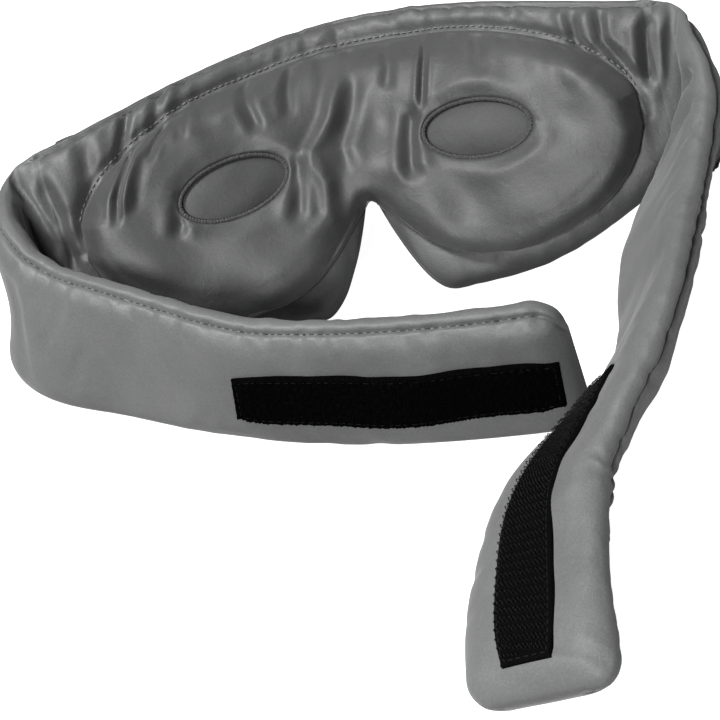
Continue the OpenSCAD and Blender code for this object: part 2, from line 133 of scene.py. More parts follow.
# creases in the cushion, as above; a negative depth is a ridge
CUSHION_CREASES = [
    ([(29.4, 33.5), (26.7, 22.6), (23.4, 9)], 2.3, 1.2),
    ([(21.5, 14), (17.8, 1.7), (16.6, -6.3), (17.7, -13)], 3.0, 2.7),
    ([(0.9, 33.5), (-6.3, 15), (-13.2, 6.1), (-10.9, -5.5), (-12.2, -15.6), (-23.5, -25.3)],
     -2.2, 2.6),
    ([(5.5, 29), (0.5, 15), (-4.5, 5), (-3.0, -7)], 1.9, 2.8),
    ([(-18.6, 8), (-19.7, -4), (-22.8, -17.5)], 2.4, 2.6),
    ([(-52.5, 4), (-57.2, -4), (-60.5, -13.5)], 2.2, 2.5),
    ([(-65.5, 25), (-67.4, 19), (-70.8, 10), (-74.8, -2)], -2.1, 2.0),
    ([(-70.0, 23), (-72.9, 12.2), (-75.8, 5), (-77.5, -5)], 2.4, 1.5),
    ([(-59.0, 26), (-61.5, 21), (-64.2, 14)], 1.5, 1.5),
    ([(-52.5, 29.5), (-54.0, 24), (-53.0, 18)], 0.9, 1.8),
    ([(-33.5, 33.5), (-31.5, 25), (-28.4, 14.7)], 2.0, 2.1),
    ([(-16.5, 35), (-18.5, 27), (-19.0, 17)], 1.4, 2.0),
    ([(15.5, 34.5), (15.8, 27), (13.5, 18)], 1.2, 2.2),
    ([(47, 30), (45, 22), (47, 15)], 0.7, 2.6),
    ([(66, 22), (68, 10), (73, 0)], 0.7, 3.4)]
# soft swellings of the cushion: x, z, height, width
CUSHION_SWELLS = ((81.0, -12.0, 2.0, 11.0), (-48.5, 25.5, 0.9, 4.0), (-39.5, 26.0, 0.7, 3.5),
                  (-26, 28.5, 0.8, 4.0), (-10.0, 30.5, 0.8, 4.0), (10.2, 30.0, 0.9, 4.0),
                  (21.5, 27.5, 0.8, 4.0), (33, 27.5, 0.9, 4.5))


# ---------------------------------------------------------------- curves and fields
def clamp(t):
    return np.clip(t, 0.0, 1.0)


def smooth(t):
    t = clamp(t)
    return t * t * (3 - 2 * t)


def bell(t):
    return np.exp(-t ** 2)


def unit(vectors):
    vectors = np.asarray(vectors, float)
    return vectors / np.maximum(np.linalg.norm(vectors, axis=-1, keepdims=True), 1e-12)


def mask_top(x):
    rise = np.maximum(0, 0.5 + 0.5 * np.cos(np.pi * x / FOLD_X)) ** 0.7
    return STRAP_HALF + (CROWN_Z - STRAP_HALF) * rise


def mask_low(x):
    away = np.abs(x)
    inward = clamp((FOLD_X - away) / (FOLD_X - 38))
    lobe = -STRAP_HALF - (LOBE_Z - STRAP_HALF) * np.sin(np.pi / 2 * inward) ** 1.15
    nose_side = np.sin(np.pi / 2 * clamp((away - 1) / 21)) ** 0.9
    nose = -NOTCH_Z - (LOBE_Z - NOTCH_Z) * nose_side
    return np.where(away > 38, lobe, nose)


def bow(x):
    """y of the mask's middle surface at z = 0"""
    return 3 - 19.5 * np.sin(np.pi / 2 * np.minimum(np.abs(x) / 100, 1)) ** 2


def slope(x):
    """y gained per mm of height"""
    return 0.36 - 0.46 * (np.minimum(np.abs(x), FOLD_X) / FOLD_X) ** 1.5


def cushion_top(x):
    return -3 + 39 * np.maximum(0, 1 - (np.abs(x) / 92) ** 2.2) ** 0.62


def cushion_low(x):
    away = np.abs(x)
    left_sag = np.where(x < 0, 2.0, 0.0) * bell((away - 26) / 20)
    return np.interp(away, CUSHION_LOW_X, CUSHION_LOW_Z) - left_sag


def leaned(points):
    """mask coordinates to the part's coordinates"""
    points = np.asarray(points, float)
    x, y, z = points[..., 0], points[..., 1], points[..., 2]
    return np.stack([x, y * math.cos(LEAN) + z * math.sin(LEAN),
                     -y * math.sin(LEAN) + z * math.cos(LEAN) + EYE_LINE], -1)


def leaned_direction(vector):
    return unit(leaned(vector) - leaned(np.zeros(3)))


def to_scene(point):
    return (np.asarray(point, float) + ORIGIN) * MM


def path_length(points):
    """distance travelled at each point of a path"""
    steps = np.linalg.norm(np.diff(points, axis=0), axis=1)
    return np.concatenate([[0], np.cumsum(steps)])


def along_path(where, run, values):
    return np.stack([np.interp(where, run, column) for column in np.asarray(values).T], -1)


def tangents(points, passes):
    found = unit(np.gradient(points, axis=0))
    for _ in range(passes):
        middle = (found[:-2] + 2 * found[1:-1] + found[2:]) / 4
        found = unit(np.vstack([found[:1], middle, found[-1:]]))
    return found


def relax(grid):
    """evens a grid out along its first axis, in place"""
    grid[1:-1] = 0.5 * grid[1:-1] + 0.25 * (grid[:-2] + grid[2:])


def lowest_near(grid, row_offsets, column_offsets):
    low = grid.copy()
    for i in row_offsets:
        for k in column_offsets:
            low = np.minimum(low, np.roll(grid, (i, k), (0, 1)))
    return low


def waves(points, wavelengths, count, seed):
    """a smooth random field with rms about 1; wavelengths are in mm, per axis"""
    random = np.random.RandomState(seed)
    points = np.asarray(points, float) / np.asarray(wavelengths, float)
    total = np.zeros(points.shape[:-1])
    for _ in range(count):
        wave = random.normal(size=points.shape[-1])
        wave *= random.uniform(0.7, 1.4) / np.linalg.norm(wave)
        total += np.cos(2 * np.pi * (points @ wave) + random.uniform(0, 2 * np.pi))
    return total * math.sqrt(2.0 / count)


def puckers(along, away, start, end, seed, pitch, amp, wide, reach, slant=0.35):
    """gathers that run away from a seam, placed at random between start and end along it"""
    random = np.random.RandomState(seed)
    total = np.zeros(np.broadcast(along, away).shape)
    away = np.abs(away)
    onset = 1 - np.exp(-away / 0.9)
    spot = start
    while spot < end:
        spot += pitch * random.uniform(0.55, 1.5)
        lean = random.normal() * slant
        width = random.uniform(*wide)
        fade = random.uniform(*reach)
        height = amp * random.uniform(0.35, 1.3) * (1 if random.rand() < 0.42 else -1)
        near = np.abs(along - spot) < 4 * width + 14
        profile = bell((along - spot - lean * away) / (width * (1 + away / 18)))
        total += np.where(near, height * profile * np.exp(-away / fade) * onset, 0)
    return total


def line_distance(x, z, line):
    """distance from points to a polyline, and how far along it the nearest point is"""
    best = np.full(x.shape, 1e9)
    along = np.zeros(x.shape)
    run = 0.0
    for (start_x, start_z), (end_x, end_z) in zip(line[:-1], line[1:]):
        dir_x, dir_z = end_x - start_x, end_z - start_z
        length = math.hypot(dir_x, dir_z)
        t = clamp(((x - start_x) * dir_x + (z - start_z) * dir_z) / length ** 2)
        distance = np.hypot(x - start_x - t * dir_x, z - start_z - t * dir_z)
        closer = distance < best
        best = np.where(closer, distance, best)
        along = np.where(closer, run + t * length, along)
        run += length
    return best, along


def creases(x, z, table):
    """valleys along polylines, each with soft ridges beside it and fading at its ends"""
    total = 0.0
    for line, depth, width in table:
        distance, along = line_distance(x, z, line)
        length = sum(math.dist(p, q) for p, q in zip(line[:-1], line[1:]))
        fade = smooth(along / (0.25 * length)) * smooth((length - along) / (0.25 * length))
        ridge = 0.35 * depth * bell((distance - 1.6 * width) / width)
        total = total + fade * (ridge - depth * bell(distance / width))
    return total


# ---------------------------------------------------------------- the long ribbon
# One padded ribbon runs from the left strap's end, through the mask, to the right strap's end.
# Each station has a centre, a direction across its width and an outer direction.
def even_spline(points):
    """Catmull-Rom spline through the points, resampled at about STEP"""
    points = np.asarray(points, float)
    padded = np.vstack([2 * points[0] - points[1], points, 2 * points[-1] - points[-2]])
    curve = []
    for i in range(1, len(padded) - 2):
        before, here, ahead, beyond = padded[i - 1:i + 3]
        for t in np.arange(40) / 40:
            curve.append(0.5 * (2 * here + t * (ahead - before)
                                + t * t * (2 * before - 5 * here + 4 * ahead - beyond)
                                + t ** 3 * (3 * here - before - 3 * ahead + beyond)))
    curve.append(points[-1])
    curve = np.array(curve)
    run = path_length(curve[:, :3])
    count = max(2, int(round(run[-1] / STEP)))
    return along_path(np.linspace(0, run[-1], count + 1), run, curve)


def strap_way(points):
    """centres and width directions along one strap, starting next to the mask"""
    side = np.sign(points[0][0])
    root = [(side * x, *leaned([0, bow(x), 0])[1:], 0) for x in (96.0, ROOT_X)]
    way = even_spline(root + list(points))
    at_root = np.argmin(np.abs(np.abs(way[:60, 0]) - ROOT_X))
    tangent = tangents(way[:, :3], 3)
    sideways = unit(np.cross(tangent, np.array([0, 0, 1.0])))
    upward = np.cross(sideways, tangent)
    tilt = np.radians(way[:, 3])[:, None]
    across = unit(np.cos(tilt) * upward + np.sin(tilt) * sideways)
    run = np.arange(len(way)) * np.linalg.norm(way[1, :3] - way[0, :3])
    # next to the fold the strap keeps the mask's own width direction
    fold_across = leaned_direction([0.0, slope(FOLD_X), 1.0])
    hold = (1 - smooth((run - (12 if side > 0 else 17)) / 28))[:, None]
    across = unit(across * (1 - hold) + fold_across * hold)
    if side > 0:                       # the free end is cut a little askew
        across = across + 0.26 * smooth((run - run[-1] + 62) / 55)[:, None] * tangent
    return way[at_root + 1:, :3], across[at_root + 1:]


left_centre, left_across = strap_way(LEFT_WAY)
right_centre, right_across = strap_way(RIGHT_WAY)
flat = 0 * MASK_X
mask_centre = leaned(np.stack([MASK_X, bow(MASK_X), flat], -1))
mask_across = leaned_direction(np.stack([flat, slope(MASK_X), flat + 1], -1))
CENTRE = np.vstack([left_centre[::-1], mask_centre, right_centre])
ACROSS = np.vstack([left_across[::-1], mask_across, right_across])
OUTER_DIR = unit(np.cross(ACROSS, tangents(CENTRE, 2)))
LEFT_N, MASK_N, STATIONS = len(left_centre), len(MASK_X), len(CENTRE)
MASK_END = LEFT_N + MASK_N
# each strap's stations, from the mask outwards
STRAP_STATIONS = {-1: np.arange(LEFT_N)[::-1], 1: np.arange(MASK_END, STATIONS)}

RUN = path_length(CENTRE)                              # distance along the ribbon, 0 at the nose
RUN -= np.interp(0.0, MASK_X, RUN[LEFT_N:MASK_END])
STATION_X = np.concatenate([                           # mask x, running on past the folds
    -ROOT_X - (RUN[LEFT_N] - RUN[:LEFT_N]), MASK_X,
    ROOT_X + (RUN[MASK_END:] - RUN[MASK_END - 1])])
PAST_FOLD = np.abs(STATION_X) - FOLD_X                 # < 0 on the mask
ON_MASK = 1 - smooth((np.abs(STATION_X) - 99) / 12)
held_x = np.minimum(np.abs(STATION_X), FOLD_X)
SLOPE_STRETCH = np.sqrt(1 + slope(held_x) ** 2)
widen = SLOPE_STRETCH * ON_MASK + 1 - ON_MASK
TOP_EDGE = mask_top(held_x) * widen + 1.6 * ON_MASK
LOW_EDGE = mask_low(held_x) * widen
for stations in STRAP_STATIONS.values():               # rounded strap ends
    to_end = np.abs(RUN[stations] - RUN[stations[-1]])
    chord = np.sqrt(np.maximum(0, CORNER ** 2 - (CORNER - to_end) ** 2))
    cut = np.where(to_end < CORNER, CORNER - chord, 0)
    TOP_EDGE[stations] -= cut
    LOW_EDGE[stations] += cut

row_t = np.arange(FACE_N + 1) / FACE_N
row_t = 0.3 * row_t + 0.7 * (0.5 - 0.5 * np.cos(np.pi * row_t))
HEIGHT = TOP_EDGE[:, None] + (LOW_EDGE - TOP_EDGE)[:, None] * row_t[None, :]   # top to bottom
FACE_Z = HEIGHT / np.where(ON_MASK > 0.5, SLOPE_STRETCH, 1.0)[:, None]         # mask z


def ribbon_edge_distance():
    """distance of every point from the outline of the flattened ribbon"""
    ends = np.minimum(RUN - RUN[0], RUN[-1] - RUN)[:, None]
    best = np.minimum(np.minimum(TOP_EDGE[:, None] - HEIGHT, HEIGHT - LOW_EDGE[:, None]), ends)
    for edge in (TOP_EDGE, LOW_EDGE):
        for offset in range(-26, 27):
            i = np.clip(np.arange(STATIONS) + offset, 0, STATIONS - 2)
            step_u = (RUN[i + 1] - RUN[i])[:, None]
            step_z = (edge[i + 1] - edge[i])[:, None]
            from_u = (RUN - RUN[i])[:, None]
            from_z = HEIGHT - edge[i][:, None]
            t = clamp((from_u * step_u + from_z * step_z) / (step_u ** 2 + step_z ** 2))
            best = np.minimum(best, np.hypot(from_u - t * step_u, from_z - t * step_z))
    return np.maximum(best, 0)


edge_distance = ribbon_edge_distance()
# padding: half thickness, pinched at the fold, and how far in from the edge it fills out
half_thick = np.where(PAST_FOLD < 0, 6.0, 6.3) * (1 - 0.60 * bell((PAST_FOLD - 1.0) / 8.0))
fill_reach = np.where(PAST_FOLD < 0, 11.0, 10.0)
inward = np.minimum(edge_distance / fill_reach[:, None], 1)
fullness = np.sqrt(np.maximum(0, 1 - (1 - inward) ** 2))
thickness = half_thick[:, None] * fullness


def ring_rows(front, back):
    """two face arrays, top to bottom, as one closed ring array"""
    return np.concatenate([front, back[:, -2:0:-1]], axis=1)


def ribbon_face(sign):
    return (CENTRE[:, None, :] + HEIGHT[..., None] * ACROSS[:, None, :]
            + sign * thickness[..., None] * OUTER_DIR[:, None, :])


def ring_normals(ring):
    around = np.roll(ring, -1, axis=1) - np.roll(ring, 1, axis=1)
    normals = unit(np.cross(around, np.gradient(ring, axis=0)))
    rows, columns = slice(5, -5), slice(10, FACE_N - 10)       # well inside the outer face
    agree = np.sum(normals[rows, columns] * OUTER_DIR[rows, None, :], -1)
    return normals if np.sum(np.sign(agree)) > 0 else -normals


PLAIN_RING = ring_rows(ribbon_face(1), ribbon_face(-1))

# distance from the top edge round the section: + on the outer face, - on the inner
ring_steps = np.linalg.norm(np.roll(PLAIN_RING, -1, axis=1) - PLAIN_RING, axis=-1)
start_column = np.zeros((STATIONS, 1))
ARC_OUTER = np.hstack([start_column, np.cumsum(ring_steps[:, :FACE_N], axis=1)])
ARC_INNER = np.hstack([start_column, np.cumsum(ring_steps[:, FACE_N:][:, ::-1], axis=1)])
ARC = ring_rows(ARC_OUTER, -ARC_INNER)
LOW_ARC = ring_rows(ARC_OUTER[:, -1:] - ARC_OUTER, -(ARC_INNER[:, -1:] - ARC_INNER))
SEAM_AT = -3.0 * ON_MASK + 3.6 * (1 - ON_MASK)         # where the top seam lies on ARC

# the same quantities over the whole ring
RING_H = ring_rows(HEIGHT, HEIGHT)
RING_Z = ring_rows(FACE_Z, FACE_Z)
RING_RUN = np.broadcast_to(RUN[:, None], RING_H.shape)
RING_X = np.broadcast_to(STATION_X[:, None], RING_H.shape)
RING_THICK = ring_rows(thickness, thickness)
RING_FULL = ring_rows(fullness, fullness)
RING_EDGE = ring_rows(edge_distance, edge_distance)
RING_UV = np.stack([RING_RUN, ARC], -1)
OUTER = ring_rows(np.ones_like(HEIGHT), np.zeros_like(HEIGHT))
OUTER[:, [0, FACE_N]] = 0.5
INNER = 1 - OUTER
MASK_PART = ON_MASK[:, None]

# the cushion's stitched arc on the lining (x, z)
ARC_HALF = 92.0
arc_x = ARC_HALF * np.sin(np.linspace(-np.pi / 2, np.pi / 2, 120))[2:-2]
STITCHED_ARC = [(-92.6, -9.0)] + [(x, float(cushion_top(x)) + 1.8) for x in arc_x] \
    + [(92.6, -9.0)]


# ---------------------------------------------------------------- folds and gathers
def seam_relief():
    """the top seam's groove and gathers, and the mask's bottom seam"""
    ends = (RUN[0], RUN[-1])
    end_fade = smooth(np.minimum(RUN - RUN[0], RUN[-1] - RUN) / 10)[:, None]
    off = ARC - SEAM_AT[:, None]
    relief = -1.25 * bell(off / 0.8) - 0.35 * bell(off / 3.2)
    gather = 0.75 + 0.25 * waves(RING_RUN[..., None], 40, 5, seed=3)
    relief += gather * end_fade * puckers(RING_RUN, off, *ends, seed=11, pitch=6.2, amp=0.72,
                                          wide=(1.1, 2.5), reach=(4, 11.0))
    relief += 0.30 * puckers(RING_RUN, off, *ends, seed=12, pitch=2.6, amp=0.45,
                             wide=(0.7, 1.0), reach=(1.4, 2.6), slant=0.1)
    pinch = np.maximum(0, waves(RUN[:, None], 7.5, 8, seed=13))[:, None] * end_fade
    relief -= 0.42 * pinch * bell(off / 2.4)
    puff = np.maximum(0, waves(RUN[:, None], 11.0, 8, seed=14))[:, None] * end_fade
    relief += 0.20 * puff * bell((np.abs(off) - 4.5) / 2.4)
    # the straps have no bottom seam
    low_off = LOW_ARC + 1.6
    bottom = MASK_PART * smooth((108 - np.abs(RING_X)) / 10)
    relief -= bottom * 0.7 * bell(low_off / 0.9)
    return relief + bottom * puckers(RING_RUN, low_off, *ends, seed=21, pitch=6.0, amp=0.45,
                                     wide=(1.2, 2.4), reach=(4, 9))


def soft_relief():
    """hand-made unevenness everywhere and long drag lines that lean across the straps"""
    spot = np.stack([RING_RUN, RING_H + 200 * OUTER], -1)
    uneven = 0.52 * waves(spot, (44, 56), 9, seed=31) + 0.20 * waves(spot, (18, 34), 10, seed=32)
    drags = 0.0
    for seed, lean, amp in ((41, 0.55, 0.55), (42, -0.4, 0.35)):
        line = np.maximum(0, waves((RING_RUN + lean * RING_H)[..., None], 15, 7, seed))
        drags = drags + amp * line * smooth(waves(spot, (60, 80), 6, seed + 5) * 0.7)
    return RING_FULL * (uneven * smooth(RING_EDGE / 7) - 0.9 * (1 - MASK_PART) * drags)


def fold_relief():
    """kinks, drag lines and creases where each strap turns out of its fold"""
    relief = np.zeros(RING_H.shape)
    for side in (-1, 1):
        past = RING_X * side - FOLD_X
        relief -= INNER * 1.3 * bell((past - 3) / 3.5) * (0.6 + 0.4 * np.cos(RING_H / 5.0))
        for start, slant, depth, width in FOLD_DRAGS:
            relief -= (depth * bell((past - start - slant * RING_H) / width)
                       * (0.55 + 0.45 * INNER) * smooth((RING_H + 26) / 30))
        relief += INNER * creases(past, RING_H, FOLD_CREASES[side]) * (RING_X * side > 80)
    return relief * RING_FULL


def lining_relief(rows):
    """groove of the cushion's top stitching, gathers and pulled folds in the lining"""
    x, z = RING_X[rows], RING_Z[rows]
    off, along = line_distance(x, z, STITCHED_ARC)
    relief = -1.9 * bell(off / 1.5) - 1.0 * bell(off / 4.5)
    relief += puckers(along, off, 0, 320, seed=51, pitch=7.4, amp=1.15, wide=(1.5, 3.1),
                      reach=(5, 14), slant=0.3)
    relief += 0.5 * puckers(along, off, 0, 320, seed=52, pitch=3.0, amp=0.5, wide=(0.8, 1.1),
                            reach=(1.5, 3.0), slant=0.1)
    relief += creases(x, z, LINING_CREASES)
    # pressed down where the cushion hides it
    under = smooth((cushion_top(x) + 1.0 - z) / 3.0) * smooth((92.5 - np.abs(x)) / 2.0)
    relief = relief * (1 - under) - 2.6 * under * smooth((z - cushion_low(x) - 1.0) / 4.0)
    return (INNER * MASK_PART * RING_FULL)[rows] * relief


def front_relief():
    """shallow gathers over the nose on the front face"""
    return OUTER * MASK_PART * RING_FULL * 0.45 * puckers(
        RING_RUN, RING_H + 12, -30, 30, seed=61, pitch=7, amp=1.2, wide=(1.5, 3),
        reach=(10, 20))


RELIEF = seam_relief() + soft_relief() + fold_relief() + front_relief()
lining_rows = slice(LEFT_N - 14, MASK_END + 14)
RELIEF[lining_rows] += lining_relief(lining_rows)
RELIEF *= smooth(RING_EDGE / 0.9) * 0.75 + 0.25
RELIEF = np.clip(RELIEF, -4.2, 2.8)
RELIEF = np.maximum(RELIEF, -0.68 * RING_THICK - 0.12)     # never meets the other face
RELIEF[0] = RELIEF[-1] = 0
DEEPEST = lowest_near(RELIEF, range(-4, 5), range(-5, 6))

RING = PLAIN_RING + RELIEF[..., None] * ring_normals(PLAIN_RING)
# a light relax keeps the cloth free of sharp steps
RING[1:-1] = 0.5 * RING[1:-1] + 0.125 * (
    RING[:-2] + RING[2:] + np.roll(RING, 1, 1)[1:-1] + np.roll(RING, -1, 1)[1:-1])
NORMALS = ring_normals(RING)


# ---------------------------------------------------------------- mesh helpers
MATERIALS = {}


def make_object(name, verts, faces, material, normals=None, uv=None):
    mesh = bpy.data.meshes.new(name)
    mesh.from_pydata(to_scene(verts).tolist(), [], [list(map(int, f)) for f in faces])
    mesh.polygons.foreach_set("use_smooth", [True] * len(mesh.polygons))
    if uv is not None:
        layer = mesh.uv_layers.new(name="UVMap")
        corners = np.zeros(len(mesh.loops), np.int32)
        mesh.loops.foreach_get("vertex_index", corners)
        layer.data.foreach_set("uv", np.asarray(uv, np.float32)[corners].ravel())
    if normals is not None:
        mesh.normals_split_custom_set_from_vertices([tuple(n) for n in normals])
    mesh.validate()
    obj = bpy.data.objects.new(name, mesh)
    bpy.context.scene.collection.objects.link(obj)
    mesh.materials.append(MATERIALS[material])
    return obj


def orient(verts, faces):
    """faces turned so that the closed mesh has positive volume"""
    volume = 0.0
    for face in faces:
        for i in range(1, len(face) - 1):
            volume += np.dot(verts[face[0]], np.cross(verts[face[i]], verts[face[i + 1]]))
    return [tuple(reversed(f)) for f in faces] if volume < 0 else faces


def grid_faces(index, closed=False, flip=False):
    """quads over an index grid; closed joins the last column to the first"""
    if closed:
        index = np.column_stack([index, index[:, 0]])
    quads = np.stack([index[:-1, :-1], index[1:, :-1], index[1:, 1:], index[:-1, 1:]], -1)
    quads = quads.reshape(-1, 4)
    return [tuple(q) for q in (quads[:, ::-1] if flip else quads)]


def cap(ring, flip):
    """closes a ring by bridging its two halves"""
    half = len(ring) // 2 + 1
    return grid_faces(np.stack([ring[:half], np.roll(ring[::-1], 1)[:half]], 1), flip=flip)


def annulus(outer, inner, flip):
    pair = np.stack([outer, inner], 1)
    return grid_faces(np.vstack([pair, pair[:1]]), flip=flip)


def without_repeats(faces):
    """removes the repeated corners left by welded rows"""
    kept = []
    for face in faces:
        corners = tuple(v for i, v in enumerate(face) if v != face[i - 1])
        if len(set(corners)) >= 3:
            kept.append(corners)
    return kept


def solid(name, verts, faces, material, normals=None, uv=None):
    """one closed mesh, cleaned of welded corners and unused points"""
    faces = without_repeats(faces)
    used = np.unique([v for face in faces for v in face])
    renumber = -np.ones(len(verts), int)
    renumber[used] = np.arange(len(used))
    verts = verts[used]
    faces = orient(verts, [tuple(renumber[list(f)]) for f in faces])
    return make_object(name, verts, faces, material, None if normals is None else normals[used],
                       None if uv is None else uv[used])


def joined(name, parts, material):
    """many small closed bits, given as (verts, faces), as one object"""
    all_verts, all_faces, count = [], [], 0
    for verts, faces in parts:
        all_faces += [tuple(int(i) + count for i in f) for f in orient(verts, faces)]
        all_verts.append(verts)
        count += len(verts)
    return make_object(name, np.vstack(all_verts), all_faces, material)


def tube(name, first, last, material, tip):
    """a sewn sleeve between two stations; tip tells which end is the strap's closed end"""
    rows = np.arange(first, last + 1)
    inner_rows = {None: rows, "start": rows[TIP_ROWS:], "end": rows[:-TIP_ROWS]}[tip]
    outer = np.arange(len(rows) * RING_N).reshape(-1, RING_N)
    inner = outer.size + np.arange(len(inner_rows) * RING_N).reshape(-1, RING_N)
    if tip:                            # weld the two faces along the end seam
        row = 0 if tip == "start" else -1
        outer[row, :FACE_N:-1] = outer[row, 1:FACE_N]
    depth = np.minimum(CLOTH, 0.42 * RING_THICK[inner_rows] + 0.25)
    inside = RING[inner_rows] - depth[..., None] * NORMALS[inner_rows]
    faces = grid_faces(outer, closed=True) + grid_faces(inner, closed=True, flip=True)
    if tip == "start":
        faces += cap(inner[0], flip=True)
    else:
        faces += annulus(outer[0], inner[0], flip=False)
    if tip == "end":
        faces += cap(inner[-1], flip=False)
    else:
        faces += annulus(outer[-1], inner[-1], flip=True)

    def stack(outside_part, inside_part):
        width = outside_part.shape[-1]
        return np.vstack([outside_part.reshape(-1, width), inside_part.reshape(-1, width)])

    return solid(name, stack(RING[rows], inside), faces, material,
                 stack(NORMALS[rows], -NORMALS[inner_rows]),
                 stack(RING_UV[rows], RING_UV[inner_rows]))


def filling(name, first, last, tip=None):
    """the wadding inside a stretch of the ribbon, a closed solid clear of the cloth"""
    rows = np.arange(first, last + 1, 3)
    if rows[-1] != last:
        rows = np.append(rows, last)
    if tip == "start":
        rows = rows[rows > first + 9]
    if tip == "end":
        rows = rows[rows < last - 9]
    columns = np.arange(0, RING_N, 4)
    sign = np.where(columns < FACE_N, 1.0, -1.0) * (columns % FACE_N != 0)
    room = np.maximum(RING_THICK + DEEPEST - PAD_INSET, 0.10 * RING_THICK)[rows][:, columns]
    half = (TOP_EDGE - LOW_EDGE)[rows] / 2
    middle = ((TOP_EDGE + LOW_EDGE)[rows] / 2)[:, None]
    height = middle + (RING_H[rows][:, columns] - middle) * (1 - 2.4 / half)[:, None]
    points = (CENTRE[rows][:, None, :] + height[..., None] * ACROSS[rows][:, None, :]
              + (sign * room)[..., None] * OUTER_DIR[rows][:, None, :])
    index = np.arange(height.size).reshape(height.shape)
    faces = grid_faces(index, closed=True) + cap(index[0], True) + cap(index[-1], False)
    return solid(name, points.reshape(-1, 3), faces, "wadding")


def sheet(name, top, low, material, normals=None, uv=None, disc=False):
    """a closed sheet between two matching grids; a disc's first ring is its centre point"""
    upper = np.arange(top.shape[0] * top.shape[1]).reshape(top.shape[:2])
    lower = upper + upper.size
    if disc:
        upper[0], lower[0] = upper[0, 0], lower[0, 0]
    faces = grid_faces(upper, closed=disc) + grid_faces(lower, closed=disc, flip=True)
    if disc:
        faces += grid_faces(np.stack([upper[-1], lower[-1]]), closed=True)
    else:
        faces += grid_faces(np.stack([upper[0], lower[0]]), flip=True)
        faces += grid_faces(np.stack([upper[-1], lower[-1]]))
        faces += grid_faces(np.stack([upper[:, 0], lower[:, 0]]))
        faces += grid_faces(np.stack([upper[:, -1], lower[:, -1]]), flip=True)
    if normals is not None:
        normals = np.vstack([normals.reshape(-1, 3), -normals.reshape(-1, 3)])
    if uv is not None:
        uv = np.vstack([uv.reshape(-1, 2)] * 2)
    return solid(name, np.vstack([top.reshape(-1, 3), low.reshape(-1, 3)]), faces, material,
                 normals, uv)


def circle(centre, radius, first, second, sides):
    angle = (np.arange(sides) * 2 * np.pi / sides)[:, None]
    return centre + radius * (np.cos(angle) * first + np.sin(angle) * second)


def rod(rings):
    """a closed bit of thread through a list of rings"""
    index = np.arange(len(rings) * len(rings[0])).reshape(len(rings), -1)
    faces = grid_faces(index, closed=True) + [tuple(index[0][::-1]), tuple(index[-1])]
    return np.vstack(rings), faces


# how far along, lift and thickness, both in thread radii
STITCH_PROFILE = ((-0.02, -0.5, 0.25), (0.06, -0.12, 0.8), (0.22, 0.42, 1.0), (0.5, 0.6, 1.08),
                  (0.78, 0.42, 1.0), (0.94, -0.12, 0.8), (1.02, -0.5, 0.25))


def stitch(start, end, normal, radius):
    """a short thread that dives into the cloth at both ends"""
    side = np.cross(unit(end - start), normal)
    return rod([circle(start + (end - start) * t + normal * lift * radius, radius * scale,
                       normal, side, 7) for t, lift, scale in STITCH_PROFILE])


def stitches(name, line, normals, material, pitch, length, radius, lift):
    """a row of stitches along a line, as one object"""
    run = path_length(line)
    bits = []
    for start in np.arange(pitch * 0.3, run[-1] - length, pitch):
        normal = unit(along_path(start + length / 2, run, normals))
        ends = [along_path(u, run, line) + lift * normal for u in (start, start + length)]
        bits.append(stitch(*ends, normal, radius))
    return joined(name, bits, material)


def attach(obj, part, node):
    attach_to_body(obj, part)
    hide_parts(node)


# ---------------------------------------------------------------- materials
def grey(value, warm=0.0):
    return (value * (1 + warm), value, value * (1 - warm))


class Shader:
    """a new material and short ways to add nodes to it"""

    def __init__(self, name):
        self.material = bpy.data.materials.new(name)
        self.material.use_nodes = True
        self.tree = self.material.node_tree
        self.surface = self.tree.nodes["Principled BSDF"]

    def link(self, source, socket):
        self.tree.links.new(source, socket)

    def add(self, kind, links=None, **values):
        node = self.tree.nodes.new("ShaderNode" + kind)
        for key, value in values.items():
            if key in node.inputs.keys():
                node.inputs[key].default_value = value
            else:
                setattr(node, key, value)
        for socket, source in (links or {}).items():
            self.link(source, node.inputs[socket])
        return node

    def noise(self, vector, scale, detail, roughness=0.6, distortion=0.0):
        return self.add("TexNoise", {"Vector": vector}, Scale=scale, Detail=detail,
                        Roughness=roughness, Distortion=distortion).outputs["Fac"]

    def scaled(self, vector, x, y):
        mapping = self.add("Mapping", {"Vector": vector}, Scale=(x, y, 1.0))
        return mapping.outputs["Vector"]

    def ramp(self, factor, *stops):
        node = self.add("ValToRGB", {"Fac": factor})
        elements = node.color_ramp.elements
        while len(elements) < len(stops):
            elements.new(0.5)
        for element, (position, colour) in zip(elements, stops):
            element.position = position
            element.color = (*colour, 1)
        return node.outputs["Color"]

    def multiply(self, base, tint, factor):
        # sockets 6, 7 and output 2 are the colour ones
        return self.add("Mix", {6: base, 7: tint}, data_type="RGBA", blend_type="MULTIPLY",
                        Factor=factor).outputs[2]

    def bump(self, height, strength, distance, below=None):
        links = {"Height": height}
        if below is not None:
            links["Normal"] = below
        return self.add("Bump", links, Strength=strength, Distance=distance).outputs["Normal"]

    def finish(self, colour, rough_source, rough_range, sheen, specular, normal):
        rough = self.add("MapRange", {"Value": rough_source},
                         **{"To Min": rough_range[0], "To Max": rough_range[1]})
        inputs = self.surface.inputs
        self.link(colour, inputs["Base Color"])
        self.link(rough.outputs["Result"], inputs["Roughness"])
        self.link(normal, inputs["Normal"])
        inputs["Sheen Weight"].default_value = sheen
        inputs["Specular IOR Level"].default_value = specular
        return self.material


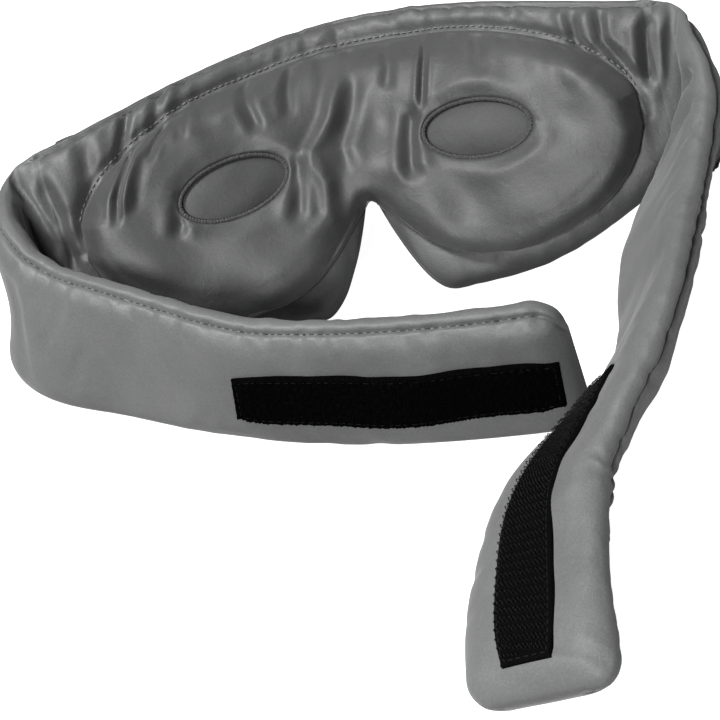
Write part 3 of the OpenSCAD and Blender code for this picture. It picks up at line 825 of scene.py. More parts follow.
def cloth_material(name, dark, light, roughness, sheen, specular, weave=1.0):
    """satin or woven cloth: tone drift, yarn streaks, fine grain, bump and sheen; UV is in mm"""
    shader = Shader(name)
    place = shader.add("TexCoord").outputs["Object"]
    uv = shader.add("UVMap").outputs["UV"]
    drift = shader.noise(place, scale=30.0, detail=4.0, roughness=0.55)
    yarn = shader.noise(shader.scaled(uv, 0.55, 3.4), scale=1.0, detail=3.0)
    weft = shader.noise(shader.scaled(uv, 3.6, 0.8), scale=1.0, detail=3.0)
    fine = shader.noise(place, scale=2100.0, detail=2.0)
    crinkle = shader.noise(place, scale=260.0, detail=3.0, distortion=0.6)
    twill = shader.add("TexWave", {"Vector": shader.scaled(uv, 0.62, 0.62)}, Scale=1.0,
                       Distortion=1.2, Detail=1.0, wave_type="BANDS",
                       bands_direction="DIAGONAL").outputs["Fac"]

    colour = shader.ramp(drift, (0.30, dark), (0.70, light))
    # source, ramp positions, ramp greys, mix factor
    for source, low, high, darker, lighter, factor in (
            (yarn, 0.25, 0.75, 0.80, 1.16, 0.40 * weave),
            (weft, 0.25, 0.75, 0.86, 1.12, 0.4 * weave),
            (fine, 0.30, 0.70, 0.80, 1.18, 0.75)):
        tint = shader.ramp(source, (low, grey(darker)), (high, grey(lighter)))
        colour = shader.multiply(colour, tint, factor)

    normal = shader.bump(yarn, strength=0.16 * weave, distance=0.0003)
    normal = shader.bump(twill, strength=0.035 * weave, distance=0.0002, below=normal)
    normal = shader.bump(fine, strength=0.22, distance=0.0002, below=normal)
    normal = shader.bump(crinkle, strength=0.20, distance=0.0009, below=normal)
    shader.surface.inputs["Sheen Roughness"].default_value = 0.45
    return shader.finish(colour, yarn, (roughness - 0.06, roughness + 0.09), sheen, specular,
                         normal)


def fuzzy_material(name, dark, light, roughness, scale, bump, sheen=0.10, specular=0.25):
    """tape, edging, thread and stuffing: tufts of two tones with a rough bump"""
    shader = Shader(name)
    place = shader.add("TexCoord").outputs["Object"]
    tuft = shader.noise(place, scale, detail=5.0, roughness=0.75, distortion=1.0)
    cells = shader.add("TexVoronoi", {"Vector": place}, Scale=scale * 0.9).outputs["Distance"]
    dark, light = grey(dark), grey(light)
    middle = [(a + b) / 2 for a, b in zip(dark, light)]
    colour = shader.ramp(tuft, (0.32, dark), (0.56, middle), (0.74, light))
    normal = shader.bump(tuft, strength=bump, distance=0.0006)
    normal = shader.bump(cells, strength=bump * 0.7, distance=0.0004, below=normal)
    return shader.finish(colour, tuft, (roughness - 0.1, roughness + 0.08), sheen, specular,
                         normal)


# key, name, darkest grey, lightest grey, roughness, sheen, specular
for key, name, dark, light, *look in (
        ("satin", "satin_outer", 0.084, 0.106, 0.54, 0.14, 0.48),
        ("cushion", "satin_cushion", 0.039, 0.053, 0.53, 0.12, 0.52),
        ("lining", "satin_lining", 0.054, 0.071, 0.52, 0.12, 0.52),
        ("eye", "satin_eye_panel", 0.037, 0.048, 0.60, 0.10, 0.40),
        ("strap_dark", "satin_strap", 0.084, 0.106, 0.58, 0.14, 0.46)):
    MATERIALS[key] = cloth_material(name, grey(dark, -0.01), grey(light, -0.01), *look)
# key, name, darkest grey, lightest grey, roughness, tuft scale, bump, then sheen and specular
FUZZY = (
    ("thread", "sewing_thread", 0.016, 0.055, 0.6, 2600, 0.4),
    ("thread_black", "tape_thread", 0.004, 0.016, 0.6, 2600, 0.4, 0.02, 0.2),
    ("thread_light", "topstitch_thread", 0.080, 0.230, 0.55, 2600, 0.4),
    ("edging", "overlock_thread", 0.026, 0.095, 0.7, 1700, 0.6),
    ("loop", "loop_pile", 0.0006, 0.0045, 0.95, 900, 1.0, 0.0, 0.03),
    ("hook", "hook_weave", 0.001, 0.004, 0.75, 1300, 0.5, 0.0, 0.05),
    ("hooks", "hook_monofilament", 0.003, 0.010, 0.45, 1500, 0.2, 0.0, 0.2))
STUFFING = (
    ("wadding", "polyester_wadding", 0.62, 0.80, 0.9, 300, 0.8),
    ("foam", "open_cell_foam", 0.50, 0.68, 0.85, 1400, 0.9))
for key, *look in FUZZY:
    MATERIALS[key] = fuzzy_material(*look)
MATERIALS["label"] = cloth_material("woven_label", grey(0.028), grey(0.040), roughness=0.6,
                                    sheen=0.05, specular=0.5, weave=1.4)
for key, *look in STUFFING:
    MATERIALS[key] = fuzzy_material(*look)


# ---------------------------------------------------------------- where the pieces are cut
def at(side, past):
    """station number a distance past the fold on one side"""
    return int(np.argmin(np.abs(STATION_X - side * (FOLD_X + past))))


def joint_past_fold(joint, side):
    """how far past the fold a joint sits"""
    stations = STRAP_STATIONS[side]
    gaps = np.linalg.norm(CENTRE[stations] - (JOINTS[joint] - ORIGIN), axis=1)
    return abs(STATION_X[stations[np.argmin(gaps)]]) - FOLD_X


SIDES = (("left", -1), ("right", 1))
PIECES = ("temple", "middle", "end")
MASK_EDGE = {side: at(side, -11.0) for _, side in SIDES}
TWIST = {side: joint_past_fold(name + "_strap_twist", side) for name, side in SIDES}
BEND = {side: joint_past_fold(name + "_strap_bend", side) for name, side in SIDES}
BLEND_REACH = 11.0
FOLD_ZONE = (-9.0, 14.0)
# stretches about the fold, the bend joint and the twist joint, past the fold, one for each piece
BLEND_ZONES = {side: (FOLD_ZONE, (BEND[side] - BLEND_REACH, BEND[side] + BLEND_REACH),
                      (TWIST[side] - 11.0, TWIST[side] + (9.0 if side < 0 else 13.0)))
               for _, side in SIDES}


def reweigh(obj, side, start, end):
    """works out blend weights by how far past the fold each point lies along the ribbon, and
    leaves them unused: the folded ribbon lies against itself, so no straight line parts the two
    sides of the fold"""
    low, high = sorted((at(side, -14), at(side, 44)))
    points = RING[low:high + 1].reshape(-1, 3)
    tree = KDTree(len(points))
    for i, point in enumerate(points):
        tree.insert(point, i)
    tree.balance()
    weights = np.empty(len(obj.data.vertices), np.float32)
    for vertex in obj.data.vertices:
        i = tree.find(np.array(vertex.co) / MM - ORIGIN)[1]
        past = side * STATION_X[low + i // RING_N] - FOLD_X
        weights[vertex.index] = smooth((past - start) / (end - start))


def attach_strap(obj, name, side, piece, node):
    number = PIECES.index(piece)
    start, end = BLEND_ZONES[side][number]
    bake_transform(obj)
    if piece == "temple" and side > 0:
        reweigh(obj, side, start, end)
    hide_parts(f"{name}_strap_{node}_{piece}")


# ---------------------------------------------------------------- the mask body
def build_mask_body():
    """front panel and lining as two sewn sheets, and the wadding between them"""
    rows = slice(MASK_EDGE[-1], MASK_EDGE[1] + 1)
    depth = np.minimum(CLOTH, 0.42 * RING_THICK + 0.2)
    inside = RING - depth[..., None] * NORMALS
    front_columns = np.arange(FACE_N + 1)
    back_columns = np.append(np.arange(FACE_N, RING_N), 0)
    for name, columns, material, node, slot in (
            ("front_panel_cloth", front_columns, "satin", "front_panel", "satin"),
            ("lining_cloth", back_columns, "lining", "lining_panel", "lining_satin")):
        panel = sheet(name, RING[rows][:, columns], inside[rows][:, columns], material,
                      NORMALS[rows][:, columns], RING_UV[rows][:, columns])
        attach(panel, "mask", node)
    padding = filling("mask_wadding", MASK_EDGE[-1], MASK_EDGE[1])
    attach(padding, "mask", "mask_padding")


def seam_stitches(name, rows, radius):
    """the thread in the top seam's groove"""
    line, normals = [], []
    for i in rows:
        columns = np.arange(FACE_N + 1)
        if SEAM_AT[i] >= 0:
            column = np.interp(SEAM_AT[i], ARC_OUTER[i], columns)
        else:
            column = (RING_N - np.interp(-SEAM_AT[i], ARC_INNER[i], columns)) % RING_N
        k = int(math.floor(column)) % RING_N
        t = column - math.floor(column)
        after = (k + 1) % RING_N
        line.append(RING[i, k] * (1 - t) + RING[i, after] * t)
        normals.append(NORMALS[i, k] * (1 - t) + NORMALS[i, after] * t)
    return stitches(name, line, normals, "thread", pitch=2.6, length=1.8, radius=radius,
                    lift=-0.02)


def build_strap(name, side):
    """three lengths of cloth, wadding and seam thread"""
    first_cut = (FOLD_ZONE[1] + BEND[side] - BLEND_REACH) / 2 + 1
    second_cut = (BEND[side] + TWIST[side]) / 2
    cuts = [MASK_EDGE[side], at(side, first_cut), at(side, second_cut),
            STRAP_STATIONS[side][-1]]
    for number, piece in enumerate(PIECES):
        low, high = sorted(cuts[number:number + 2])
        tip = None
        if piece == "end":
            tip = "start" if side < 0 else "end"
        cloth = tube(f"{name}_strap_cloth_{piece}", low, high,
                     "satin" if side < 0 else "strap_dark", tip)
        attach_strap(cloth, name, side, piece, "cover")
        pad_low, pad_high = low, high
        if piece == "temple":          # the tight fold itself holds no wadding
            if side < 0:
                pad_high = at(side, 9.0)
            else:
                pad_low = at(side, 17.0)
        pad = filling(f"{name}_strap_wadding_{piece}", pad_low, pad_high, tip)
        attach_strap(pad, name, side, piece, "filling")
        rows = range(low + (TIP_ROWS if tip == "start" else 0),
                     high + 1 - (TIP_ROWS if tip == "end" else 0))
        thread = seam_stitches(f"{name}_strap_stitches_{piece}", rows, radius=0.13)
        attach_strap(thread, name, side, piece, "seam")


build_mask_body()
for side_name, side_sign in SIDES:
    build_strap(side_name, side_sign)
attach(seam_stitches("top_seam_stitches", range(MASK_EDGE[-1], MASK_EDGE[1] + 1), radius=0.12),
       "mask", "top_seam_thread")


# ---------------------------------------------------------------- the finished ribbon, sampled
def sample_face(face, station, height, heights=HEIGHT):
    """points and normals of a face (+1 outer, -1 inner) at station numbers and heights"""
    columns = np.arange(FACE_N + 1) if face > 0 else (RING_N - np.arange(FACE_N + 1)) % RING_N
    shape = station.shape
    station, height = station.ravel(), height.ravel()
    base = np.clip(np.floor(station).astype(int), 0, STATIONS - 2)
    part = station - base
    each = np.arange(len(station))
    points, normals = np.zeros((len(station), 3)), np.zeros((len(station), 3))
    for i, weight in ((base, 1 - part), (base + 1, part)):
        rows = heights[i]
        k = np.clip((rows > height[:, None]).sum(1), 1, FACE_N)
        above, below = rows[each, k - 1], rows[each, k]
        t = clamp((above - height) / np.maximum(above - below, 1e-6))[:, None]
        for grid, total in ((RING, points), (NORMALS, normals)):
            total += weight[:, None] * (grid[i, columns[k - 1]] * (1 - t)
                                        + grid[i, columns[k]] * t)
    return points.reshape(*shape, 3), unit(normals).reshape(*shape, 3)


def station_at(x):
    return LEFT_N + np.interp(x, MASK_X, np.arange(MASK_N))


def lining_at(x, z):
    return sample_face(-1, station_at(x), z, FACE_Z)


def plain_lining(x, z):
    """the lining's nominal surface, free of folds"""
    return leaned(np.stack([x, bow(x) + slope(x) * z - 5.6, z], -1))


LINING_OUT = leaned_direction([0, -1, 0])              # the way the lining faces
MASK_DOWN = leaned_direction([0, 0, -1])

# ---------------------------------------------------------------- the face cushion
CUSHION_NX, CUSHION_NZ = 300, 150
CUSHION_RISE = 11.6
grid_s = np.linspace(-1, 1, CUSHION_NX + 1)
CUSHION_X = 91.6 * (0.72 * grid_s + 0.28 * np.sin(np.pi / 2 * grid_s))
grid_t = np.linspace(0, 1, CUSHION_NZ + 1)
grid_t = 0.35 * grid_t + 0.65 * (0.5 - 0.5 * np.cos(np.pi * grid_t))
cushion_low_z, cushion_top_z = cushion_low(CUSHION_X), cushion_top(CUSHION_X)
CUSHION_MID = (cushion_low_z + cushion_top_z) / 2
cushion_gap = np.maximum(cushion_top_z - cushion_low_z, 0.8)
LOW_LINE, TOP_LINE = CUSHION_MID - cushion_gap / 2, CUSHION_MID + cushion_gap / 2
GRID_X = np.repeat(CUSHION_X[:, None], CUSHION_NZ + 1, 1)
GRID_Z = LOW_LINE[:, None] + cushion_gap[:, None] * grid_t[None, :]
OUTLINE = list(zip(CUSHION_X, LOW_LINE)) + list(zip(CUSHION_X[::-1], TOP_LINE[::-1]))
OUTLINE.append(OUTLINE[0])
RIM_GAP = line_distance(GRID_X, GRID_Z, OUTLINE)[0]    # distance in from the outline

# the eye ovals: half width, half height, distance from the middle, tilt
OVAL_W, OVAL_H, OVAL_X, OVAL_TILT = 17.7, 9.4, 40.0, np.radians(-9.0)


def upper_part(x, z):
    """1 towards the stitched arc, 0 towards the lower edge"""
    return smooth((z - (np.interp(x, CUSHION_X, CUSHION_MID) - 4)) / 16)


def cushion_rise(x, z, rim_gap):
    """the cushion's height free of folds: flat-topped, steeper towards the temples"""
    upper = upper_part(x, z)
    side_on = smooth((np.abs(x) - 42) / 30)
    reach = ((25.0 * (1 - side_on) + 13.0 * side_on) * upper
             + (15.0 * (1 - side_on) + 12.0 * side_on) * (1 - upper))
    t = np.minimum(rim_gap / reach, 1)
    rise = CUSHION_RISE * (1 - (1 - t) ** 2.3) ** (0.78 * upper + 0.52 * (1 - upper))
    return rise * (0.80 + 0.20 * smooth(np.abs(x) / 24))


def oval_gap():
    """side, angle round the oval, and mm outside its rim, over the cushion grid"""
    side = np.where(GRID_X < 0, -1.0, 1.0)
    tilt = OVAL_TILT * side
    off_x = GRID_X - side * OVAL_X
    local_u = (off_x * np.cos(tilt) + GRID_Z * np.sin(tilt)) / OVAL_W
    local_w = (-off_x * np.sin(tilt) + GRID_Z * np.cos(tilt)) / OVAL_H
    angle = np.arctan2(local_w, local_u)
    radius = np.sqrt((OVAL_W * np.cos(angle)) ** 2 + (OVAL_H * np.sin(angle)) ** 2)
    return side, angle, (np.sqrt(local_u ** 2 + local_w ** 2) - 1) * radius


def cushion_relief():
    """recesses for the ovals, gathers, unevenness, creases and swellings"""
    side, angle, gap = oval_gap()
    outside = np.maximum(gap, 0)
    upper = upper_part(GRID_X, GRID_Z)
    relief = -4.2 * smooth((0.5 - gap) / 1.6) - 1.3 * np.exp(-outside / 2.8)
    relief += 0.45 * bell((gap - 5.5) / 3.0)
    relief += (gap > 0) * puckers(angle * 16 + 60 * side, outside, -120, 120, seed=71,
                                  pitch=6.5, amp=0.30, wide=(1.2, 2.4), reach=(2.5, 6.0))
    off, along = line_distance(GRID_X, GRID_Z, STITCHED_ARC)
    relief += upper * puckers(along, off, 0, 320, seed=81, pitch=7.5, amp=1.10,
                              wide=(1.6, 3.2), reach=(5, 15), slant=0.3)
    relief += upper * 0.5 * puckers(along, off, 0, 320, seed=82, pitch=3.1, amp=0.5,
                                    wide=(0.8, 1.1), reach=(1.5, 3.0), slant=0.1)
    low_run = np.cumsum(np.hypot(np.gradient(CUSHION_X), np.gradient(LOW_LINE)))[:, None]
    relief += (1 - upper) * puckers(low_run, RIM_GAP, 0, 400, seed=83, pitch=9.0, amp=0.35,
                                    wide=(1.8, 3.4), reach=(4, 10))
    spot = np.stack([GRID_X, GRID_Z], -1)
    uneven = 0.85 * waves(spot, (44, 40), 9, seed=91) + 0.36 * waves(spot, (22, 24), 10, seed=92)
    relief += smooth(RIM_GAP / 12) * (0.12 + 0.88 * smooth((gap - 0.5) / 6.0)) * uneven
    relief += creases(GRID_X, GRID_Z, CUSHION_CREASES) * smooth((gap + 0.2) / 3.0)
    for x, z, height, width in CUSHION_SWELLS:
        relief += height * np.exp(-(((GRID_X - x) / width) ** 2
                                    + ((GRID_Z - z) / (1.3 * width)) ** 2))
    return relief


def cushion_surface(lift):
    # on the real lining at its edge and on the nominal surface inside
    mix = smooth((RIM_GAP - 1.0) / 7.0)[..., None]
    foot = lining_at(GRID_X, GRID_Z)[0] * (1 - mix) + plain_lining(GRID_X, GRID_Z) * mix
    surface = foot + (lift + 0.15)[..., None] * LINING_OUT
    # the lower edge rolls down over the outline
    t = clamp(RIM_GAP / 9)
    roll = (1 - upper_part(GRID_X, GRID_Z)) * 2.6 * 4 * t * (1 - t)
    surface = surface + roll[..., None] * MASK_DOWN
    surface[1:-1, 1:-1] = 0.6 * surface[1:-1, 1:-1] + 0.1 * (
        surface[:-2, 1:-1] + surface[2:, 1:-1] + surface[1:-1, :-2] + surface[1:-1, 2:])
    return surface


def build_cushion():
    """the cushion's cover and the foam under it"""
    bare = cushion_rise(GRID_X, GRID_Z, RIM_GAP)
    relief = np.clip(cushion_relief(), -5.8, 3.4) * smooth(RIM_GAP / 2.5)
    lift = np.maximum(bare + relief, 0.0)
    surface = cushion_surface(lift)
    normals = unit(np.cross(np.gradient(surface, axis=0), np.gradient(surface, axis=1)))
    if np.mean(normals @ LINING_OUT) <= 0:
        normals = -normals
    depth = np.minimum(1.0, 0.35 * lift + 0.12)[..., None]
    cover = sheet("cushion_cloth", surface, surface - depth * normals, "cushion", normals,
                  np.stack([GRID_X, GRID_Z], -1))
    attach(cover, "mask", "cushion_cover")

    pick = np.s_[6:CUSHION_NX - 5:4, 6:CUSHION_NZ - 5:3]
    low_lift = lowest_near(lift, range(-6, 7, 2), range(-6, 7, 2))
    sink = (lift - low_lift + np.minimum(1.7, 0.5 + 0.4 * lift))[pick]
    top = surface[pick] - sink[..., None] * LINING_OUT
    deep = np.maximum(low_lift[pick] - 2.6, 0.35)
    foam = sheet("cushion_foam_pad", top, top - deep[..., None] * LINING_OUT, "foam")
    attach(foam, "mask", "cushion_foam")


def oval_point(side, radius, angle, shrink):
    """x and z on an eye oval; radius 1 is its rim"""
    local_u = (OVAL_W - shrink) * radius * np.cos(angle)
    local_w = (OVAL_H - shrink) * radius * np.sin(angle)
    tilt = OVAL_TILT * side
    return (side * OVAL_X + local_u * np.cos(tilt) - local_w * np.sin(tilt),
            local_u * np.sin(tilt) + local_w * np.cos(tilt))


def raised(x, z, extra):
    """points above the cushion's surface free of recess and folds"""
    rise = cushion_rise(x, z, line_distance(x, z, OUTLINE[::2])[0])
    return plain_lining(x, z) + (rise + extra)[..., None] * LINING_OUT


def build_eye_panel(name, side):
    """a padded oval in the recess"""
    radius, angle = np.meshgrid(np.linspace(0.0, 1.0, 27), np.arange(96) * 2 * np.pi / 96,
                                indexing="ij")
    x, z = oval_point(side, radius, angle, shrink=0.35)
    spot = np.stack([x, z], -1)
    dome = 2.5 * (1 - radius ** 2.4) - 2.9
    uneven = 0.16 * waves(spot, (16, 14), 8, seed=101 + side)
    top = raised(x, z, dome + uneven * (1 - radius ** 4))
    panel = sheet(f"{name}_eye_panel_cloth", top, top - 0.9 * LINING_OUT, "eye", uv=spot,
                  disc=True)
    attach(panel, "mask", f"{name}_eye_panel")


def build_eye_edging(name, side):
    """overlocked edging: a corded thread wound round the rim"""
    steps, sides, cord_radius, wind_pitch = 420, 12, 0.66, 1.0
    x, z = oval_point(side, 1.0, np.arange(steps) * 2 * np.pi / steps, shrink=0.2)
    centre = raised(x, z, -1.75)
    tangent = unit(np.roll(centre, -1, 0) - np.roll(centre, 1, 0))
    sideways = unit(np.cross(tangent, LINING_OUT))
    outward = np.cross(sideways, tangent)
    run = np.cumsum(np.linalg.norm(np.roll(centre, -1, 0) - centre, axis=1))
    turns = round(run[-1] / wind_pitch)
    phase = (run / run[-1] * turns * 2 * np.pi)[:, None]
    angle = (np.arange(sides) * 2 * np.pi / sides)[None, :]
    radius = cord_radius * (1 + 0.16 * np.cos(angle + phase)) + 0.05 * np.cos(phase * 0.5)
    ring = centre[:, None, :] + radius[..., None] * (
        np.cos(angle)[..., None] * sideways[:, None, :]
        + np.sin(angle)[..., None] * outward[:, None, :])
    index = np.arange(steps * sides).reshape(steps, sides)
    faces = grid_faces(np.vstack([index, index[:1]]), closed=True)
    edging = joined(f"{name}_eye_edging_thread", [(ring.reshape(-1, 3), faces)], "edging")
    attach(edging, "mask", f"{name}_eye_edging")


def build_top_stitching():
    """light stitches in the groove round the cushion's top"""
    run = path_length(STITCHED_ARC)
    x, z = along_path(np.linspace(0, 1, 700) * run[-1], run, STITCHED_ARC).T
    points, normals = lining_at(x, z)
    keep = slice(30, -30)
    thread = stitches("cushion_top_stitches", points[keep],
                      0.5 * normals[keep] + 0.5 * LINING_OUT, "thread_light",
                      pitch=2.4, length=1.65, radius=0.24, lift=0.26)
    attach(thread, "mask", "cushion_topstitch")


build_cushion()
for side_name, side_sign in SIDES:
    build_eye_panel(side_name, side_sign)
    build_eye_edging(side_name, side_sign)
build_top_stitching()

# ---------------------------------------------------------------- the tapes
TAPE_L, TAPE_W = 100.0, 20.0
TAPE_CORNER = 2.0
TAPE_SINK = 0.5                # the tape's underside lies this far into the cloth
HOOK_L, HOOK_W = TAPE_L + 1, TAPE_W - 0.6
LOOP_W = TAPE_W - 0.8


def tape_grid(side, start, length, width, middle, steps, face, skew=0.0):
    """smoothed strip of a strap's face: points, normals, distances along, across, to the edge"""
    along, across = np.meshgrid(np.linspace(0, length, steps[0] + 1),
                                np.linspace(-width / 2, width / 2, steps[1] + 1), indexing="ij")
    to_end = np.minimum(along, length - along)
    chord = np.sqrt(np.maximum(0, TAPE_CORNER ** 2 - (TAPE_CORNER - to_end) ** 2))
    pull = np.where(to_end < TAPE_CORNER, TAPE_CORNER - chord, 0)
    across = across * (1 - pull / (width / 2))
    stations = STRAP_STATIONS[side]
    station = np.interp(start + along + skew * across, PAST_FOLD[stations], stations)
    points, normals = sample_face(face, station, middle + across)
    for _ in range(500):               # the tape bridges small gathers
        relax(points)
        relax(normals)
        normals[1:-1] = unit(normals[1:-1])
    for _ in range(60):
        relax(points.swapaxes(0, 1))
    edge = np.minimum(to_end, width / 2 - np.abs(across))
    return points, normals, along, across, edge


def tape_sheet(name, points, normals, height, material, uv):
    return sheet(name, points + height[..., None] * normals, points - TAPE_SINK * normals,
                 material, uv=uv)


def tape_stitches(name, points, normals, inset, height):
    """stitches round a tape, a number of grid steps in from its edge"""
    low = inset
    high_i, high_k = points.shape[0] - 1 - inset, points.shape[1] - 1 - inset
    path = [(i, low) for i in range(low, high_i)] + [(high_i, k) for k in range(low, high_k)]
    path += [(i, high_k) for i in range(high_i, low, -1)]
    path += [(low, k) for k in range(high_k, low, -1)]
    rows, columns = np.array(path).T
    normals = normals[rows, columns]
    return stitches(name, points[rows, columns] + height * normals, normals, "thread_black",
                    pitch=2.6, length=1.9, radius=0.13, lift=-0.03)


def build_loop_tape():
    """the pile strip on the left strap's outer face"""
    points, normals, along, across, edge = tape_grid(
        side=-1, start=TWIST[-1] + 9.8, length=TAPE_L, width=LOOP_W, middle=-1.9,
        steps=(300, 60), face=1, skew=0.08)
    spot = np.stack([along, across], -1)
    pile = 0.22 * waves(spot, (1.1, 1.1), 26, seed=111) + 0.13 * waves(spot, (2.7, 2.7), 14,
                                                                       seed=112)
    groove = 0.45 * bell((edge - 1.7) / 0.5)
    height = 0.35 + 1.35 * smooth(edge / 0.9) ** 0.6 + pile * smooth(edge / 1.0) - groove
    loop = tape_sheet("loop_tape_pile", points, normals, height, "loop", spot)
    attach(loop, "left_strap_end", "loop_tape")
    thread = tape_stitches("loop_tape_stitches", points, normals, inset=5, height=1.32)
    attach(thread, "left_strap_end", "loop_tape_stitching")


def hook_tape_point(points, normals, along, across):
    """point, normal and lengthways direction on the hook tape"""
    row = along / HOOK_L * (points.shape[0] - 1)
    column = (across / HOOK_W + 0.5) * (points.shape[1] - 1)
    i = int(np.clip(math.floor(row), 0, points.shape[0] - 2))
    k = int(np.clip(math.floor(column), 0, points.shape[1] - 2))
    s, t = row - i, column - k
    point = (points[i, k] * (1 - s) * (1 - t) + points[i + 1, k] * s * (1 - t)
             + points[i, k + 1] * (1 - s) * t + points[i + 1, k + 1] * s * t)
    return point, unit(normals[i, k]), unit(points[i + 1, k] - points[i, k])


def small_hook(foot, normal, forward, side, tall, bend, radius=0.15):
    """one J-shaped monofilament hook"""
    # height, reach in the bend's direction
    profile = ((0.2, 0), (0.2 + 0.45 * tall, 0), (tall, 0.12), (tall + 0.16, 0.42),
               (tall - 0.08, 0.66), (tall - 0.36, 0.70))
    path = [foot + height * normal + reach * bend * forward for height, reach in profile]
    last = len(path) - 1
    rings = []
    for i, centre in enumerate(path):
        heading = unit(path[min(i + 1, last)] - path[max(i - 1, 0)])
        first = unit(np.cross(heading, side))
        rings.append(circle(centre, radius * (1.0 if i < last else 0.6), first,
                            np.cross(first, heading), 5))
    return rod(rings)


def build_hooks(points, normals):
    """rows of small hooks, alternate rows shifted and bent the other way"""
    random = np.random.RandomState(7)
    row_pitch, hook_pitch, row_shift, row_slant = 1.5, 1.45, 0.72, 0.165
    bits = []
    for row, start in enumerate(np.arange(2.6, TAPE_L - 2.0, row_pitch)):
        odd = row % 2
        for across in np.arange(-HOOK_W / 2 + 1.1, HOOK_W / 2 - 1.0, hook_pitch):
            along = start + row_slant * (across + HOOK_W / 2) + random.uniform(-0.12, 0.12)
            if along > TAPE_L - 1.6:
                continue
            point, normal, forward = hook_tape_point(points, normals, along,
                                                     across + row_shift * odd)
            bits.append(small_hook(point + 0.85 * normal, normal, forward,
                                   np.cross(normal, forward),
                                   tall=1.0 + random.uniform(-0.1, 0.1),
                                   bend=1 if odd else -1))
    return joined("hook_tape_hooks", bits, "hooks")


def build_hook_tape():
    """the woven strip on the right strap's inner face, with its hooks"""
    points, normals, along, across, edge = tape_grid(
        side=1, start=TWIST[1] + 21.5, length=HOOK_L, width=HOOK_W, middle=0.0,
        steps=(202, 40), face=-1)
    weave_turn = 2 * np.pi / 1.5
    weave = 0.10 * np.sin(along * weave_turn) * np.sin(across * weave_turn)
    base = tape_sheet("hook_tape_base", points, normals,
                      0.3 + 0.75 * smooth(edge / 0.7) + weave, "hook",
                      np.stack([along, across], -1))
    attach(base, "right_strap_end", "hook_tape")
    hooks = build_hooks(points, normals)
    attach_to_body(hooks, "right_strap_end")
    thread = tape_stitches("hook_tape_stitches", points, normals, inset=3, height=1.05)
    attach(thread, "right_strap_end", "hook_tape_stitching")


def build_label():
    """a small blank woven label on the mask's front"""
    half_w, half_h, middle_z = 8, 4.5, 24.0
    low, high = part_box("label_patch")
    middle_x = (low.x + high.x) / 2 / MM - ORIGIN[0]
    x, z = np.meshgrid(np.linspace(-half_w, half_w, 41), np.linspace(-half_h, half_h, 25),
                       indexing="ij")
    points, normals = sample_face(1, station_at(middle_x + x), (middle_z + z) * 1.03)
    for _ in range(12):
        relax(points)
        relax(points.swapaxes(0, 1))
    edge = np.minimum(half_w - np.abs(x), half_h - np.abs(z))
    rib = 0.05 * np.sin(x * 2 * np.pi / 0.9)
    height = 0.25 + 0.45 * smooth(edge / 0.6) + rib
    label = sheet("label_patch_woven", points + height[..., None] * normals,
                  points - 0.3 * normals, "label", uv=np.stack([x, z], -1))
    attach(label, "mask", "label_patch")


build_loop_tape()
build_hook_tape()
build_label()


# ---------------------------------------------------------------- stage, light and camera
def build_floor():
    half = 3.0                         # metres
    mesh = bpy.data.meshes.new("floor")
    mesh.from_pydata([(-half, -half, 0), (half, -half, 0), (half, half, 0), (-half, half, 0)],
                     [], [(0, 1, 2, 3)])
    floor = bpy.data.objects.new("floor", mesh)
    bpy.context.scene.collection.objects.link(floor)
    paper = Shader("floor_paper")
    inputs = paper.surface.inputs
    inputs["Base Color"].default_value = (0.42, 0.42, 0.42, 1)
    inputs["Roughness"].default_value = 0.9
    inputs["Specular IOR Level"].default_value = 0.1
    inputs["Emission Color"].default_value = (1, 1, 1, 1)
    # the paper reads pale to the camera, the cloth gets only its bounce
    seen = paper.add("LightPath")
    glow = paper.add("Math", {0: seen.outputs["Is Camera Ray"]}, operation="MULTIPLY")
    glow.inputs[1].default_value = 0.80
    paper.link(glow.outputs[0], inputs["Emission Strength"])
    mesh.materials.append(paper.material)


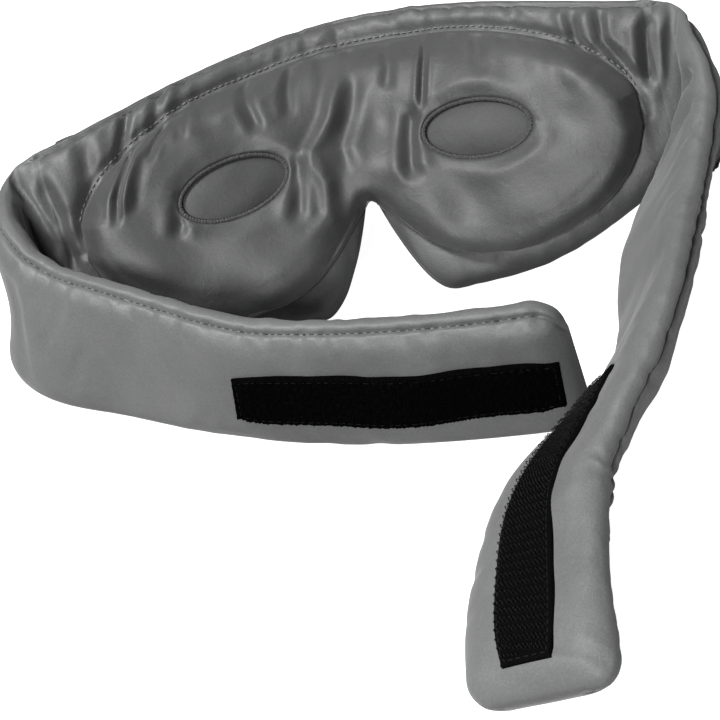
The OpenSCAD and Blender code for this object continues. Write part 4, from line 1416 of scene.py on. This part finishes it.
def build_world():
    world = bpy.data.worlds.new("world")
    bpy.context.scene.world = world
    world.use_nodes = True
    nodes, links = world.node_tree.nodes, world.node_tree.links
    path = nodes.new("ShaderNodeLightPath")
    strength = nodes.new("ShaderNodeMix")
    strength.data_type = "FLOAT"
    strength.inputs[2].default_value = 0.10            # what lights the cloth
    strength.inputs[3].default_value = 1.0             # what the camera sees
    links.new(path.outputs["Is Camera Ray"], strength.inputs[0])
    links.new(strength.outputs[0], nodes["Background"].inputs["Strength"])
    nodes["Background"].inputs["Color"].default_value = (1, 1, 1, 1)


def direction(azimuth, elevation):
    """unit vector; azimuth in radians turns from -y towards +x"""
    return np.array([math.sin(azimuth) * math.cos(elevation),
                     -math.cos(azimuth) * math.cos(elevation), math.sin(elevation)])


# name, azimuth and elevation (degrees), diameter (m), power (W)
LIGHTS = (("key", -12, 31, 0.26, 13.0), ("left", -82, 64, 0.30, 17.0),
          ("side", 52, 24, 0.45, 1.4), ("top", 170, 60, 0.5, 3.0))
LIGHT_AIM = (0, -60, 30)
LIGHT_DISTANCE = 1.2                                   # m


def build_light(name, azimuth, elevation, size, power):
    data = bpy.data.lights.new(name, "AREA")
    data.shape = "DISK"
    data.size = size
    data.energy = power
    light = bpy.data.objects.new(name, data)
    bpy.context.scene.collection.objects.link(light)
    towards = direction(math.radians(azimuth), math.radians(elevation))
    light.location = to_scene(LIGHT_AIM) + towards * LIGHT_DISTANCE
    light.rotation_euler = Vector(-towards).to_track_quat("-Z", "Y").to_euler()


def build_camera():
    azimuth, elevation, roll = 0.16481, 0.65697, -0.33311       # radians
    focus, distance = np.array([-18.36374, -23.22997, -31.35337]), 849.0
    back = direction(azimuth, elevation)
    right = np.array([math.cos(azimuth), math.sin(azimuth), 0.0])
    upward = np.cross(back, right)
    rolled_right = math.cos(roll) * right + math.sin(roll) * upward
    rolled_up = -math.sin(roll) * right + math.cos(roll) * upward
    place = to_scene(focus + back * distance)
    data = bpy.data.cameras.new("camera")
    data.sensor_width = 36.0
    data.lens = 127.118
    data.clip_end = 20
    camera = bpy.data.objects.new("camera", data)
    bpy.context.scene.collection.objects.link(camera)
    axes = np.column_stack([rolled_right, rolled_up, back, place])
    camera.matrix_world = Matrix(axes.tolist() + [[0, 0, 0, 1]])
    bpy.context.scene.camera = camera


build_floor()
build_world()
for light_values in LIGHTS:
    build_light(*light_values)
build_camera()
bpy.context.scene.view_settings.view_transform = "Standard"
bpy.context.scene.view_settings.look = "Medium High Contrast"
